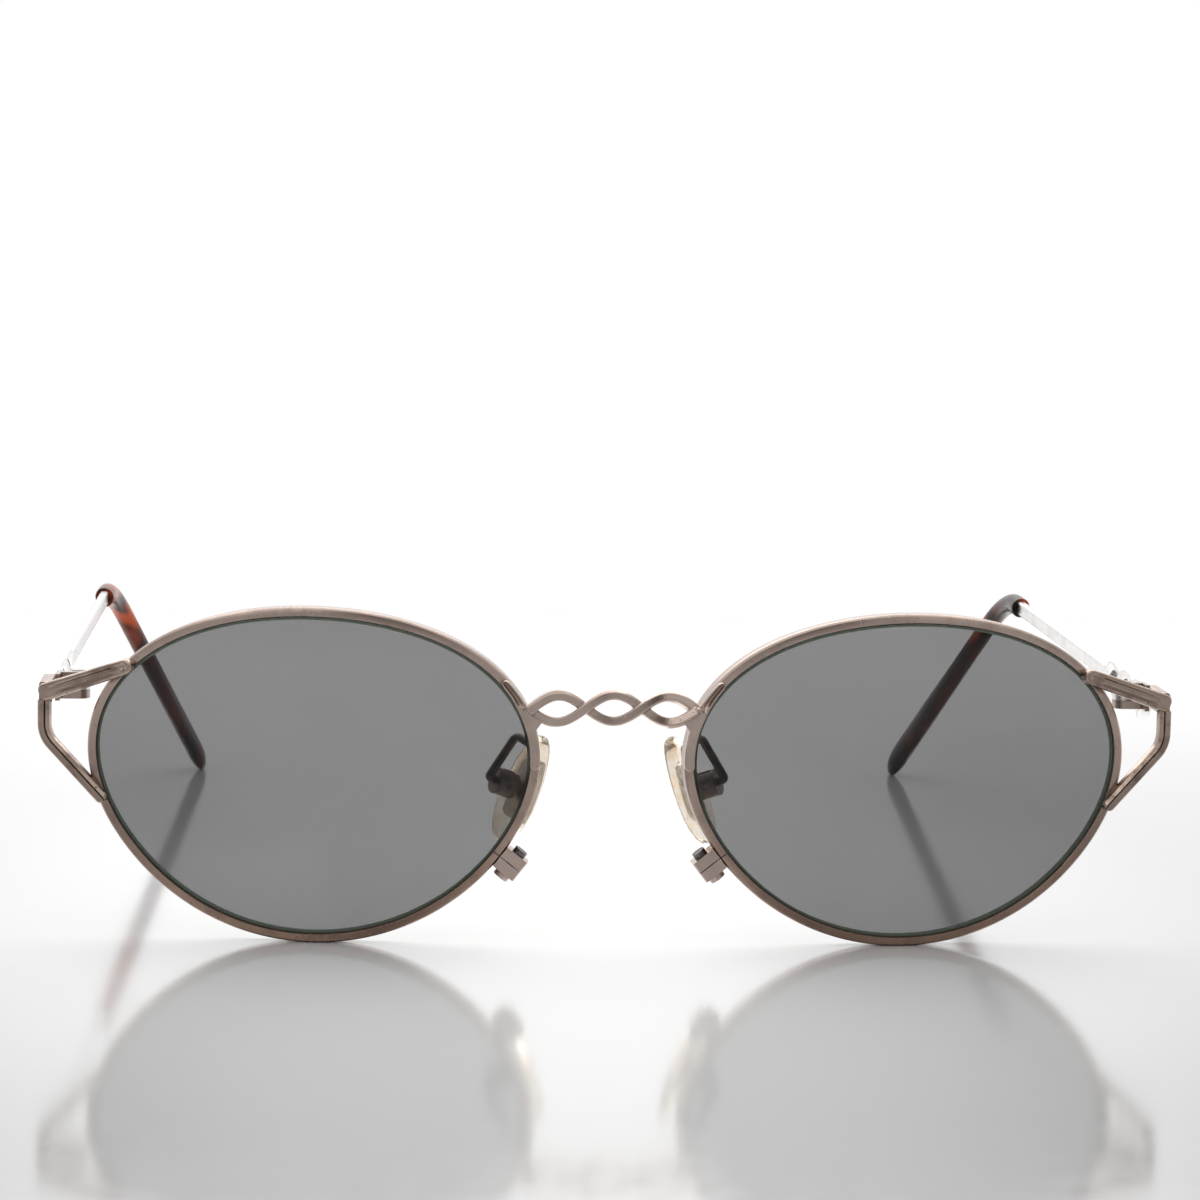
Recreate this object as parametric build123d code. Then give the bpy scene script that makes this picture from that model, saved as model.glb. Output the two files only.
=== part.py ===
from build123d import *
import os
from math import atan2, cos, degrees, hypot, pi, radians, sin, sqrt

# Oval metal sunglasses with a twisted bridge, temples open, standing on both rims and both tips.
# Millimetres. +Z is up, the wearer looks along -Y, and the left side of the wearer is at +X.
# Every piece of the left side is built at +X and mirrored to the right side.
# While building, Y = 0 is at the middle of the lens fronts and Z = 0 is the table.

# Whole frame
rims_apart = 17.22
hinge_depth = 14.0
wrap_angle = 5.0
base_curve_radius = 88.0
solder_film = 0.03
cut_margin = 1.0

# Rim outline: an oval whose radius swells by two small waves
rim_half_width = 25.74
rim_half_height = 19.3
egg_share = 0.0324
slant_share = 0.0087
outline_arcs = 16

# Rim section
rim_band = 1.12
rim_depth = 2.2
groove_depth = 0.5
groove_width = 0.9

# Lens
lens_thickness = 1.8
lens_play = 0.06

# Bridge, and the place round the rim where its twist ends
bridge_angle = 157.7
bridge_depth = 1.3
bridge_stub = 0.6
bridge_twist_height = 4.05
bridge_strand_width = 1.03
bridge_strand_depth = 1.5
bridge_weave = 0.28
bridge_arch = 0.25
foot_upper_angle = 148.0
foot_lower_angle = 177.0
foot_width = 1.15
foot_thickness = 0.8
foot_lip = 0.1
foot_arcs = 4
web_angle = 165.0
web_reach = 1.5
web_drop = 1.3
web_thickness = 1.0
web_setback = 0.05

# Shape of both twists: how far a loop rises towards its pointed corner, and how round a strand is
twist_apex_share = 0.62
strand_round_share = 0.32
twist_loops = 3

# End bar, the sloping bar with its turned-back arm: its reach and drop are from its seat on the rim
bar_angle = 36.0
endpiece_reach = 10.34
endpiece_drop = 3.36
bar_width = 1.9
bar_depth = 1.6
bar_corner_round = 0.55
bar_edge_round = 0.4
endpiece_sweep = 15.0
arm_setback = 0.25
arm_thickness = 1.5
arm_height = 2.4
arm_edge_round = 0.3

# End loop, the bent wire under the bar
loop_angle = -12.0
loop_width = 1.35
loop_depth = 1.5
loop_drop = 4.9
loop_bend_radius = 3.4
loop_setback = 0.2
loop_edge_round = 0.35

# Closing blocks and their screw
closing_angle = 210.8
closing_gap = 0.12
block_reach = 2.9
block_depth = 2.4
upper_block_height = 1.3
lower_block_height = 1.3
block_edge_round = 0.25
closing_boss_radius = 0.95
closing_boss_height = 0.65
closing_shank_radius = 0.55
closing_head_radius = 0.8
closing_head_height = 0.6
closing_screw_share = 0.52
slot_width = 0.28
slot_depth = 0.25

# Nose pads, placed from the foot of their arm on the rim
pad_outward = 1.15
pad_behind = 7.41
pad_below = 4.35
pad_lean = 22.0
pad_splay = 22.0
pad_length = 13.4
pad_width = 7.8
pad_thickness = 1.9
pad_edge_round = 0.8
pad_drop_share = 0.16
pad_points = 16

# Metal core inside each pad, whose lug sits in the box
plate_length = 7.0
plate_width = 3.4
plate_thickness = 0.45
lug_thickness = 1.0
lug_end_radius = 0.75

# Pad box and the screw that each pad rocks on
box_radius = 1.6
box_depth = 2.4
box_floor = 0.35
box_edge_round = 0.12
rock_gap = 0.4
lug_play = 0.08
pad_shank_radius = 0.38
pad_head_radius = 0.65
pad_head_height = 0.35
running_play = 0.04
fixed_play = 0.02

# Pad arm, the hooked wire from the rim to the box
pad_arm_radius = 0.5
pad_arm_angle = 177.0
pad_arm_back = 2.1
pad_arm_rise = 1.4
hook_across = 2.1
hook_back = 2.0
hook_rise = 1.0
box_entry = 0.9
hook_radius = 0.9
entry_radius = 0.45

# Hinge
knuckle_radius = 1.25
hinge_inset = 2.65
outer_knuckle_height = 0.95
middle_knuckle_height = 1.1
knuckle_play = 0.05
leaf_thickness = 0.55
leaf_length = 3.0
hinge_shank_radius = 0.6
hinge_head_radius = 0.9
hinge_head_height = 0.4
butt_gap = 0.1

# Temple casting with its twist
temple_drop = 1.1
temple_rise = 1.58
temple_toe_in = 1.3
temple_block_length = 3.2
twist_start = 0.9
temple_pitch = 6.9
temple_twist_height = 4.8
temple_strand_width = 1.15
temple_strand_depth = 1.35
temple_weave = 0.3
collar_length = 2.0
collar_height = 2.3
collar_thickness = 1.4
collar_round = 0.3

# Temple bar and its round core
strip_height = 1.9
strip_thickness = 1.1
strip_round = 0.35
core_radius = 0.55
core_share = 0.72
core_play = 0.05

# Temple tip: its end is inward and backward of the bend's corner
bend_distance = 89.5
sleeve_before_bend = 10.0
bend_radius = 14.0
tip_inward = 10.97
tip_backward = 25.09
neck_height = 2.7
neck_thickness = 2.5
neck_bevel = 0.35
paddle_height = 5.2
paddle_thickness = 2.35
paddle_cap = 3.4
paddle_start_share = 0.4
paddle_full_share = 0.86
tip_stations = 12
cap_stations = 4


def outline_point(angle, outward):
    """Point of the rim's outer outline in the lens plane, moved outward along its normal."""
    swell = 1 + slant_share * sin(2 * angle) + egg_share * sin(3 * angle)
    slope = 2 * slant_share * cos(2 * angle) + 3 * egg_share * cos(3 * angle)
    across = rim_half_width * (slope * cos(angle) - swell * sin(angle))
    up = rim_half_height * (slope * sin(angle) + swell * cos(angle))
    length = hypot(across, up)
    u = rim_half_width * swell * cos(angle) + outward * up / length
    v = rim_half_height * swell * sin(angle) - outward * across / length
    return (u, v)


def arc_chain(point_at, start, end, arcs):
    """Arcs through the points of a curve, from one parameter to another."""
    half_step = (end - start) / (2 * arcs)
    edges = []
    for n in range(arcs):
        first = start + 2 * n * half_step
        through = [point_at(first + k * half_step) for k in range(3)]
        edges.append(ThreePointArc(*through))
    return edges


def outline_face(outward):
    """Face inside the rim's outline, moved outward, in the lens plane."""
    return make_face(arc_chain(lambda angle: outline_point(angle, outward), 0, 2 * pi, outline_arcs))


def lens_ball(radius):
    """Ball about the centre of the base curve, in lens coordinates, with its poles off the lens."""
    seat = Plane(origin=(0, 0, -base_curve_radius), x_dir=(0, 0, -1), z_dir=(0, 1, 0))
    return seat * Sphere(radius)


def front_height(u, v, radius):
    """Height of a ball's surface over the lens plane, at a point of that plane."""
    return sqrt(radius**2 - u**2 - v**2) - base_curve_radius


def curved_slice(face, outer_radius, inner_radius):
    """The part of a prism on the face that lies between two balls."""
    back = front_height(rim_half_width, rim_half_height, inner_radius) - cut_margin
    front = outer_radius - base_curve_radius + cut_margin
    prism = extrude(Pos(0, 0, back) * face, amount=front - back, dir=(0, 0, 1))
    return (prism & lens_ball(outer_radius)) - lens_ball(inner_radius)


# Lens plane, which is upright and leaves the bottom of its rim on the table
wrap = radians(wrap_angle)
lens_centre_x = rims_apart / 2 + rim_half_width
rim_bottom = outline_point(3 * pi / 2, 0)[1]
lens_plane = Plane(
    origin=(lens_centre_x, 0, -rim_bottom),
    x_dir=(cos(wrap), sin(wrap), 0),
    z_dir=(sin(wrap), -cos(wrap), 0),
)
middle_radius = base_curve_radius - lens_thickness / 2
rim_front_radius = middle_radius + rim_depth / 2
rim_back_radius = middle_radius - rim_depth / 2


def on_rim(angle, outward, radius):
    """Point in space at an angle in degrees round the rim, on the ball of that radius."""
    u, v = outline_point(radians(angle), outward)
    return lens_plane.from_local_coords(Vector(u, v, front_height(u, v, radius)))


def rounded_ends(shape, axis, radius):
    """The shape with the edges of its two faces across an axis rounded."""
    faces = shape.faces().sort_by(axis)
    return fillet(faces[0].edges() + faces[-1].edges(), radius)


def make_rim(split_plane):
    """Eyewire with a groove for the lens, split between the closing blocks."""
    ring_face = outline_face(0) - outline_face(-rim_band)
    ring = curved_slice(ring_face, rim_front_radius, rim_back_radius)
    groove_face = outline_face(groove_depth - rim_band)
    groove_half = groove_width / 2
    groove = curved_slice(groove_face, middle_radius + groove_half, middle_radius - groove_half)
    split = Box(2 * rim_band + 2 * cut_margin, rim_depth + 2 * cut_margin, closing_gap)
    return lens_plane * (ring - groove) - split_plane * split


def make_lens():
    """Curved lens with a tongue all round that sits in the rim's groove with a little play."""
    lens_face = outline_face(-rim_band - lens_play)
    body = curved_slice(lens_face, base_curve_radius, base_curve_radius - lens_thickness)
    tongue_face = outline_face(groove_depth - rim_band - lens_play)
    tongue_half = groove_width / 2 - lens_play
    tongue = curved_slice(tongue_face, middle_radius + tongue_half, middle_radius - tongue_half)
    return lens_plane * (body + tongue)


def make_envelope():
    """Space of the rim and lens with a film all round, which soldered pieces keep out of."""
    front = rim_front_radius + solder_film
    back = rim_back_radius - solder_film
    return lens_plane * curved_slice(outline_face(solder_film), front, back)


def half_wave(start, end, swing, width, depth, overrun):
    """One side of a loop: a bent bar from crossing to crossing, bulging up by swing."""
    run = end - start
    apex_rise = swing / twist_apex_share
    slope = atan2(abs(apex_rise), hypot(run.X, run.Y) / 2)
    radius = (abs(apex_rise) - abs(swing)) / (1 / cos(slope) - 1)
    apex = (start + end) * 0.5 + Vector(0, 0, apex_rise)
    lead_in = (start - apex).normalized() * overrun
    lead_out = (end - apex).normalized() * overrun
    path = FilletPolyline(start + lead_in, apex, end + lead_out, radius=radius)
    sideways = Vector(-run.Y, run.X, 0)
    section_plane = Plane(origin=path @ 0, x_dir=sideways, z_dir=path % 0)
    section = RectangleRounded(depth, width, strand_round_share * width)
    return sweep(section_plane * section, path=path)


def make_twist(pitch, height, width, depth, weave, arch):
    """Two strands along X that cross over each other, the rising one in front, from the origin."""
    overrun = width / 4
    swing = (height - width) / 2
    total = twist_loops * pitch
    crossings = [pitch * n for n in range(twist_loops + 1)]
    lifts = [arch * (1 - (2 * x / total - 1) ** 2) for x in crossings]
    waves = []
    for strand_side in (1, -1):
        for n in range(twist_loops):
            side = strand_side * (-1) ** n
            start = Vector(crossings[n], weave * side, lifts[n])
            end = Vector(crossings[n + 1], -weave * side, lifts[n + 1])
            waves.append(half_wave(start, end, -side * swing, width, depth, overrun))
    return waves[0].fuse(*waves[1:])


def make_foot():
    """Curved strip on the rim's front with rounded ends, where the bridge is soldered."""
    inner_lip = foot_lip - foot_width
    upper = radians(foot_upper_angle)
    lower = radians(foot_lower_angle)
    outer_edges = arc_chain(lambda angle: outline_point(angle, foot_lip), upper, lower, foot_arcs)
    inner_edges = arc_chain(lambda angle: outline_point(angle, inner_lip), lower, upper, foot_arcs)
    lower_cut = Line(outer_edges[-1] @ 1, inner_edges[0] @ 0)
    upper_cut = Line(inner_edges[-1] @ 1, outer_edges[0] @ 0)
    strip = make_face([*outer_edges, lower_cut, *inner_edges, upper_cut])
    for angle in (upper, lower):
        u, v = outline_point(angle, foot_lip - foot_width / 2)
        strip = strip + Pos(u, v) * Circle(foot_width / 2)
    seat_radius = rim_front_radius + solder_film
    return lens_plane * curved_slice(strip, seat_radius + foot_thickness, seat_radius)


def make_bridge_web(seat, half_length):
    """Thin corner of the casting between the end of the twist and the lower leg of the foot."""
    leg_edge = on_rim(web_angle, foot_lip, rim_front_radius)
    leg_middle = on_rim(web_angle, foot_lip - foot_width / 2, rim_front_radius)
    corners = [
        (seat.X, seat.Z),
        (half_length - web_reach, seat.Z - web_drop),
        (leg_edge.X, leg_edge.Z),
        (leg_middle.X, leg_middle.Z),
    ]
    back = bridge_depth - bridge_strand_depth / 2 + web_setback + web_thickness
    face = Plane(origin=(0, back, 0), x_dir=(1, 0, 0), z_dir=(0, -1, 0)) * make_face(
        Polyline(*corners, close=True)
    )
    return extrude(face, amount=web_thickness, dir=(0, -1, 0))


def make_bridge(envelope):
    """Cast bridge: the twist with a two-legged foot on each rim."""
    seat = on_rim(bridge_angle, foot_lip - foot_width / 2, rim_front_radius)
    half_length = seat.X - bridge_stub
    twist = make_twist(
        2 * half_length / twist_loops,
        bridge_twist_height,
        bridge_strand_width,
        bridge_strand_depth,
        bridge_weave,
        bridge_arch,
    )
    twist = Pos(-half_length, bridge_depth, seat.Z) * twist
    stub = Box(bridge_stub, bridge_strand_depth, bridge_strand_width)
    stub = Pos(half_length + bridge_stub / 2, bridge_depth, seat.Z) * stub
    side = make_foot() + (stub + make_bridge_web(seat, half_length) - envelope)
    return (twist - envelope - mirror(envelope, about=Plane.YZ)) + side + mirror(side, about=Plane.YZ)


# Plane of each end piece: X outward along it, Y up, Z forward, on the rim's front at the bar's inner end
sweep_angle = radians(endpiece_sweep)
bar_seat = on_rim(bar_angle, -rim_band / 2, rim_front_radius)
endpiece_plane = Plane(
    origin=bar_seat,
    x_dir=(cos(sweep_angle), sin(sweep_angle), 0),
    z_dir=(sin(sweep_angle), -cos(sweep_angle), 0),
)
bar_front = solder_film + bar_depth
outer_x = bar_seat.X + endpiece_reach * cos(sweep_angle) + bar_front * sin(sweep_angle)
arm_x = outer_x - arm_setback - arm_thickness / 2
arm_along = (arm_x - bar_seat.X) / cos(sweep_angle)
hinge_height = bar_seat.Z - endpiece_drop
bar_slope = atan2(endpiece_drop, arm_along)
bar_length = (endpiece_reach - sin(bar_slope) * bar_width / 2) / cos(bar_slope)


def make_end_bar(growth):
    """Sloping bar lapped on the rim, turned back at its outer end. Growth thickens it all round."""
    width = bar_width + 2 * growth
    slot_length = bar_length - bar_width
    slot = Pos(slot_length / 2, 0) * SlotCenterToCenter(slot_length, width)
    outer_half = Pos(3 * bar_length / 4, 0) * RectangleRounded(
        bar_length / 2 + 2 * growth, width, bar_corner_round
    )
    face = Rot(0, 0, -degrees(bar_slope)) * (slot + outer_half)
    depth = bar_depth + 2 * growth
    bar = extrude(Pos(0, 0, solder_film - growth) * face, amount=depth, dir=(0, 0, 1))
    bar = rounded_ends(bar, Axis.Z, bar_edge_round)
    corner = endpiece_plane.from_local_coords(Vector(arm_along, -endpiece_drop, bar_front - bar_depth / 2))
    arm_length = hinge_depth - butt_gap / 2 - corner.Y
    arm = Box(arm_thickness + 2 * growth, arm_length + growth, arm_height + 2 * growth)
    arm = fillet(arm.edges().filter_by(Axis.Y), arm_edge_round)
    arm_middle = corner.Y + (arm_length + growth) / 2
    return endpiece_plane * bar + Pos(arm_x, arm_middle, hinge_height) * arm


def make_end_loop(end_bar_space, envelope):
    """Wire bent down from the bar's outer end and in to the rim, lapped there with a round end."""
    top_along = endpiece_reach - loop_width / 2
    rim_end = endpiece_plane.to_local_coords(on_rim(loop_angle, -rim_band / 2, rim_front_radius))
    points = [
        (top_along, -endpiece_drop),
        (top_along, -endpiece_drop - loop_drop),
        (rim_end.X, rim_end.Y),
    ]
    wire_face = trace(FilletPolyline(*points, radius=loop_bend_radius), loop_width)
    wire_face = wire_face + Pos(rim_end.X, rim_end.Y) * Circle(loop_width / 2)
    back = bar_front - loop_setback - loop_depth
    wire = extrude(Pos(0, 0, back) * wire_face, amount=loop_depth, dir=(0, 0, 1))
    wire = rounded_ends(wire, Axis.Z, loop_edge_round)
    return endpiece_plane * wire - end_bar_space - envelope


def slotted_screw(shank_radius, shank_length, head_radius, head_height):
    """Screw along Z with the underside of its slotted head at the origin, head up."""
    shank = Pos(0, 0, -shank_length / 2) * Cylinder(shank_radius, shank_length)
    head = Pos(0, 0, head_height / 2) * Cylinder(head_radius, head_height)
    slot = Box(2 * head_radius + cut_margin, slot_width, 2 * slot_depth)
    return shank + (head - Pos(0, 0, head_height) * slot)


# Plane of the rim's split: X outward, Z along the rim towards its bottom
closing = radians(closing_angle)
split_u, split_v = outline_point(closing, 0)
out_u, out_v = outline_point(closing, rim_band)
split_origin = Vector(split_u, split_v, front_height(split_u, split_v, middle_radius))
split_outward = Vector(out_u - split_u, out_v - split_v, 0)
split_along = Vector(split_v - out_v, out_u - split_u, 0)
split_plane = lens_plane * Plane(origin=split_origin, x_dir=split_outward, z_dir=split_along)
closing_screw_x = closing_screw_share * block_reach


def make_closing_block(height, side, envelope):
    """Half of the clamp that shuts the rim, on the upper (-1) or lower (1) side of the split."""
    middle = side * (closing_gap + height) / 2
    block = Box(block_reach, block_depth, height)
    block = fillet(block.edges().filter_by(Axis.Z).group_by(Axis.X)[-1], block_edge_round)
    block = Pos(block_reach / 2, 0, middle) * block
    if side > 0:
        boss = Cylinder(closing_boss_radius, closing_boss_height)
        boss_middle = closing_gap / 2 + height + closing_boss_height / 2
        block = block + Pos(closing_screw_x, 0, boss_middle) * boss
    tall = height + closing_gap + closing_boss_height
    hole = Cylinder(closing_shank_radius + fixed_play, 2 * tall + cut_margin)
    block = block - Pos(closing_screw_x, 0, 0) * hole
    return split_plane * block - envelope


def make_closing_screw():
    """Slotted screw through both closing blocks, its head on the upper one."""
    below_head = solder_film + upper_block_height + closing_gap + lower_block_height
    screw = slotted_screw(
        closing_shank_radius, below_head + closing_boss_height, closing_head_radius, closing_head_height
    )
    head_seat = closing_gap / 2 + upper_block_height + solder_film
    return split_plane * Pos(closing_screw_x, 0, -head_seat) * Rot(180, 0, 0) * screw


# Plane of each nose pad: X up along the pad, Z towards the nose, origin in the pad's middle
lean = radians(pad_lean)
splay = radians(pad_splay)
pad_arm_foot = on_rim(pad_arm_angle, -rim_band / 2, rim_back_radius - solder_film)
pad_plane = Plane(
    origin=pad_arm_foot + Vector(pad_outward, pad_behind, -pad_below),
    x_dir=(-sin(lean), 0, cos(lean)),
    z_dir=(-cos(lean) * cos(splay), sin(splay), -sin(lean) * cos(splay)),
)
box_height = pad_thickness / 2 + rock_gap + box_depth / 2
box_bottom = box_height + box_depth / 2


def pad_outline_point(turn):
    """Point of the drop-shaped pad outline, narrower at its top."""
    taper = 1 - pad_drop_share * cos(turn)
    return (pad_length / 2 * cos(turn), pad_width / 2 * sin(turn) * taper)


def make_pad_core(growth):
    """Plate inside the pad with a lug towards the box. Growth thickens it all round."""
    plate_face = RectangleRounded(
        plate_length + 2 * growth, plate_width + 2 * growth, plate_width / 3
    )
    plate_depth = plate_thickness + 2 * growth
    plate = extrude(Pos(0, 0, -plate_depth / 2) * plate_face, amount=plate_depth, dir=(0, 0, 1))
    lug_height = 2 * lug_end_radius + 2 * growth
    lug = Pos(0, 0, -box_height / 2) * Box(lug_height, lug_thickness + 2 * growth, box_height)
    eye = Cylinder(lug_end_radius + growth, lug_thickness + 2 * growth)
    return plate + lug + Pos(0, 0, -box_height) * Rot(90, 0, 0) * eye


def make_nose_pad():
    """Clear pad with rounded edges, moulded round its core."""
    turns = [2 * pi * n / pad_points for n in range(pad_points)]
    face = make_face(Spline([pad_outline_point(turn) for turn in turns], periodic=True))
    pad = extrude(Pos(0, 0, -pad_thickness / 2) * face, amount=pad_thickness, dir=(0, 0, 1))
    pad = rounded_ends(pad, Axis.Z, pad_edge_round)
    return pad_plane * (pad - make_pad_core(solder_film))


def make_bored_core():
    """The pad's core with the bore that it rocks on."""
    bore = Cylinder(pad_shank_radius + running_play, lug_thickness + cut_margin)
    return pad_plane * (make_pad_core(0) - Pos(0, 0, -box_height) * Rot(90, 0, 0) * bore)


head_seat_y = sqrt(box_radius**2 - (pad_head_radius + fixed_play) ** 2)


def make_pad_box():
    """Round cup at the end of the pad arm, slotted for the lug and bored for its screw."""
    box = Cylinder(box_radius, box_depth)
    box = fillet(box.faces().sort_by(Axis.Z)[0].edges(), box_edge_round)
    slot_height = box_depth - box_floor + cut_margin
    slot = Box(2 * box_radius + cut_margin, lug_thickness + 2 * lug_play, slot_height)
    slot_middle = box_floor - box_depth / 2 + slot_height / 2
    hole = Rot(90, 0, 0) * Cylinder(pad_shank_radius + fixed_play, 2 * box_radius + cut_margin)
    head_room = Rot(90, 0, 0) * Cylinder(pad_head_radius + fixed_play, cut_margin)
    box = box - Pos(0, 0, slot_middle) * slot - hole - Pos(0, head_seat_y + cut_margin / 2, 0) * head_room
    return pad_plane * Pos(0, 0, -box_height) * box


def make_pad_screw():
    """Screw across the box, whose head is at the back."""
    screw = slotted_screw(
        pad_shank_radius, 2 * head_seat_y, pad_head_radius, pad_head_height
    )
    return pad_plane * Pos(0, head_seat_y + solder_film, -box_height) * Rot(-90, 0, 0) * screw


def make_pad_arm():
    """Round wire that leaves the rim's back, hooks over and ends on the floor of the box."""
    root = pad_arm_foot + Vector(0, pad_arm_back, pad_arm_rise)
    top = root + Vector(hook_across, hook_back, hook_rise)
    floor = pad_plane.from_local_coords(Vector(0, 0, -box_bottom - solder_film))
    entry = pad_plane.from_local_coords(Vector(0, 0, -box_bottom - solder_film - box_entry))
    radii = [hook_radius, hook_radius, entry_radius]
    path = FilletPolyline(pad_arm_foot, root, top, entry, floor, radius=radii)
    return sweep(Plane(origin=path @ 0, z_dir=path % 0) * Circle(pad_arm_radius), path=path)


# Hinge axis and the heights of its knuckles
arm_inner_x = arm_x - arm_thickness / 2
hinge_x = arm_inner_x - hinge_inset
leaf_x = arm_inner_x - solder_film - leaf_thickness
hinge_total = middle_knuckle_height + 2 * (knuckle_play + outer_knuckle_height)
outer_knuckle_lift = (hinge_total - outer_knuckle_height) / 2


def hinge_leaf(side, knuckle_lifts, knuckle_height, bore_radius):
    """Plate with knuckles round the hinge axis, on the front (-1) or temple (1) side of it."""
    plate_middle = side * (butt_gap + leaf_length) / 2
    plate = Box(leaf_thickness, leaf_length, hinge_total)
    leaf = Pos(leaf_x + leaf_thickness / 2 - hinge_x, plate_middle, 0) * plate
    web_length = leaf_x - hinge_x
    web_width = knuckle_radius - butt_gap / 2
    web_middle = side * (butt_gap + web_width) / 2
    for lift in knuckle_lifts:
        web = Pos(web_length / 2, web_middle, lift) * Box(web_length, web_width, knuckle_height)
        leaf = leaf + web + Pos(0, 0, lift) * Cylinder(knuckle_radius, knuckle_height)
    return leaf - Cylinder(bore_radius, hinge_total + cut_margin)


def make_front_hinge_leaf():
    """Leaf on the end bar's arm with the upper and lower knuckles, recessed for the screw head."""
    lifts = (-outer_knuckle_lift, outer_knuckle_lift)
    leaf = hinge_leaf(-1, lifts, outer_knuckle_height, hinge_shank_radius + fixed_play)
    head_bottom = hinge_total / 2 - hinge_head_height
    recess = Cylinder(hinge_head_radius + fixed_play, 2 * hinge_head_height)
    leaf = leaf - Pos(0, 0, head_bottom + hinge_head_height) * recess
    return Pos(hinge_x, hinge_depth, hinge_height) * leaf


def make_temple_hinge_leaf():
    """Leaf on the temple with the middle knuckle, which turns on the screw."""
    leaf = hinge_leaf(1, (0,), middle_knuckle_height, hinge_shank_radius + running_play)
    return Pos(hinge_x, hinge_depth, hinge_height) * leaf


def make_hinge_screw():
    """Slotted screw down through the three knuckles."""
    head_bottom = hinge_total / 2 - hinge_head_height + fixed_play
    screw = slotted_screw(
        hinge_shank_radius,
        head_bottom + hinge_total / 2,
        hinge_head_radius,
        hinge_head_height - fixed_play,
    )
    return Pos(hinge_x, hinge_depth, hinge_height + head_bottom) * screw


# Plane of each temple: X back along it, Y inward, Z up, from its front end
toe_in = radians(temple_toe_in)
rise = radians(temple_rise)
temple_front_y = hinge_depth + butt_gap / 2
temple_along = Vector(-sin(toe_in) * cos(rise), cos(toe_in) * cos(rise), sin(rise))
temple_inward = Vector(-cos(toe_in), -sin(toe_in), 0)
temple_plane = Plane(
    origin=(arm_x, temple_front_y, hinge_height - temple_drop),
    x_dir=temple_along,
    z_dir=temple_along.cross(temple_inward),
)
collar_start = twist_start + twist_loops * temple_pitch - collar_length / 4
strip_start = collar_start + collar_length + solder_film


def make_temple_twist():
    """Cast front of the temple: hinge block, twist and end collar, filed flat for the leaf."""
    block = Box(arm_thickness, temple_block_length, arm_height)
    block = fillet(block.edges().filter_by(Axis.Y), arm_edge_round)
    block = Pos(arm_x, temple_front_y + temple_block_length / 2, hinge_height) * block
    twist = make_twist(
        temple_pitch,
        temple_twist_height,
        temple_strand_width,
        temple_strand_depth,
        temple_weave,
        0,
    )
    collar = Box(collar_length, collar_thickness, collar_height)
    collar = fillet(collar.edges().filter_by(Axis.X), collar_round)
    collar = Pos(collar_start + collar_length / 2, 0, 0) * collar
    casting = block + temple_plane * (Pos(twist_start, 0, 0) * twist + collar)
    seat_length = leaf_length + solder_film
    seat = Box(temple_strand_depth, 2 * seat_length, 2 * temple_twist_height)
    return casting - Pos(arm_inner_x - temple_strand_depth / 2, temple_front_y, hinge_height) * seat


def settle_tip_end(bend_corner):
    """Middle of the tip's round end, so high that its ellipsoid just touches the table."""
    height = paddle_height / 2
    for _ in range(8):
        end = Vector(bend_corner.X - tip_inward, bend_corner.Y + tip_backward, height)
        along = (end - bend_corner).normalized()
        across = temple_along.cross(along).normalized()
        upright = across.cross(along)
        reach = (paddle_cap * along.Z, paddle_height / 2 * upright.Z, paddle_thickness / 2 * across.Z)
        height = hypot(*reach)
    return end


# Route of the tip and core: along the temple, round the ear bend and down to the table
sleeve_start = bend_distance - sleeve_before_bend
tip_start = temple_plane.from_local_coords(Vector(sleeve_start, 0, 0))
bend_corner = temple_plane.from_local_coords(Vector(bend_distance, 0, 0))
tip_end = settle_tip_end(bend_corner)
tip_down = (tip_end - bend_corner).normalized()
tip_across = temple_along.cross(tip_down).normalized()


def tip_route(end):
    """Path from the sleeve's start round the ear bend to a point on the way down."""
    return FilletPolyline(tip_start, bend_corner, end, radius=bend_radius)


def make_core(radius):
    """Round core from the sleeve's start to part of the way down the tip."""
    core_end = bend_corner + (tip_end - bend_corner) * core_share
    path = tip_route(core_end)
    return sweep(Plane(origin=tip_start, z_dir=temple_along) * Circle(radius), path=path)


def make_temple_bar():
    """Plain bar behind the twist, with the core that carries the tip."""
    length = sleeve_start - solder_film - strip_start
    bar = Box(length, strip_thickness, strip_height)
    bar = fillet(bar.edges().filter_by(Axis.X), strip_round)
    bar = temple_plane * Pos(strip_start + length / 2, 0, 0) * bar
    neck = temple_plane * Pos(sleeve_start, 0, 0) * Rot(0, 90, 0) * Cylinder(core_radius, 2 * core_radius)
    return bar + neck + make_core(core_radius)


def tip_section(path, distance, height, thickness):
    """Oval section square to the tip's route at a distance along it."""
    middle = path.position_at(distance, position_mode=PositionMode.LENGTH)
    along = path.tangent_at(distance, position_mode=PositionMode.LENGTH)
    plane = Plane(origin=middle, x_dir=tip_across, z_dir=along)
    return plane * Ellipse(thickness / 2, height / 2)


def make_temple_tip():
    """Plastic tip: a round neck that widens after the ear bend into a flat rounded paddle."""
    path = tip_route(tip_end + tip_down * paddle_cap)
    body_length = path.length - paddle_cap
    sections = [tip_section(path, 0, neck_height - 2 * neck_bevel, neck_thickness - 2 * neck_bevel)]
    for n in range(tip_stations + 1):
        share = n / tip_stations
        distance = neck_bevel + share * (body_length - neck_bevel)
        grown = (share - paddle_start_share) / (paddle_full_share - paddle_start_share)
        grown = min(max(grown, 0), 1)
        grown = grown**2 * (3 - 2 * grown)
        height = neck_height + grown * (paddle_height - neck_height)
        thickness = neck_thickness + grown * (paddle_thickness - neck_thickness)
        sections.append(tip_section(path, distance, height, thickness))
    for n in range(1, cap_stations + 1):
        turn = radians(84) * n / cap_stations
        distance = body_length + paddle_cap * sin(turn)
        sections.append(
            tip_section(path, distance, paddle_height * cos(turn), paddle_thickness * cos(turn))
        )
    return loft(sections) - make_core(core_radius + core_play)


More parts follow.
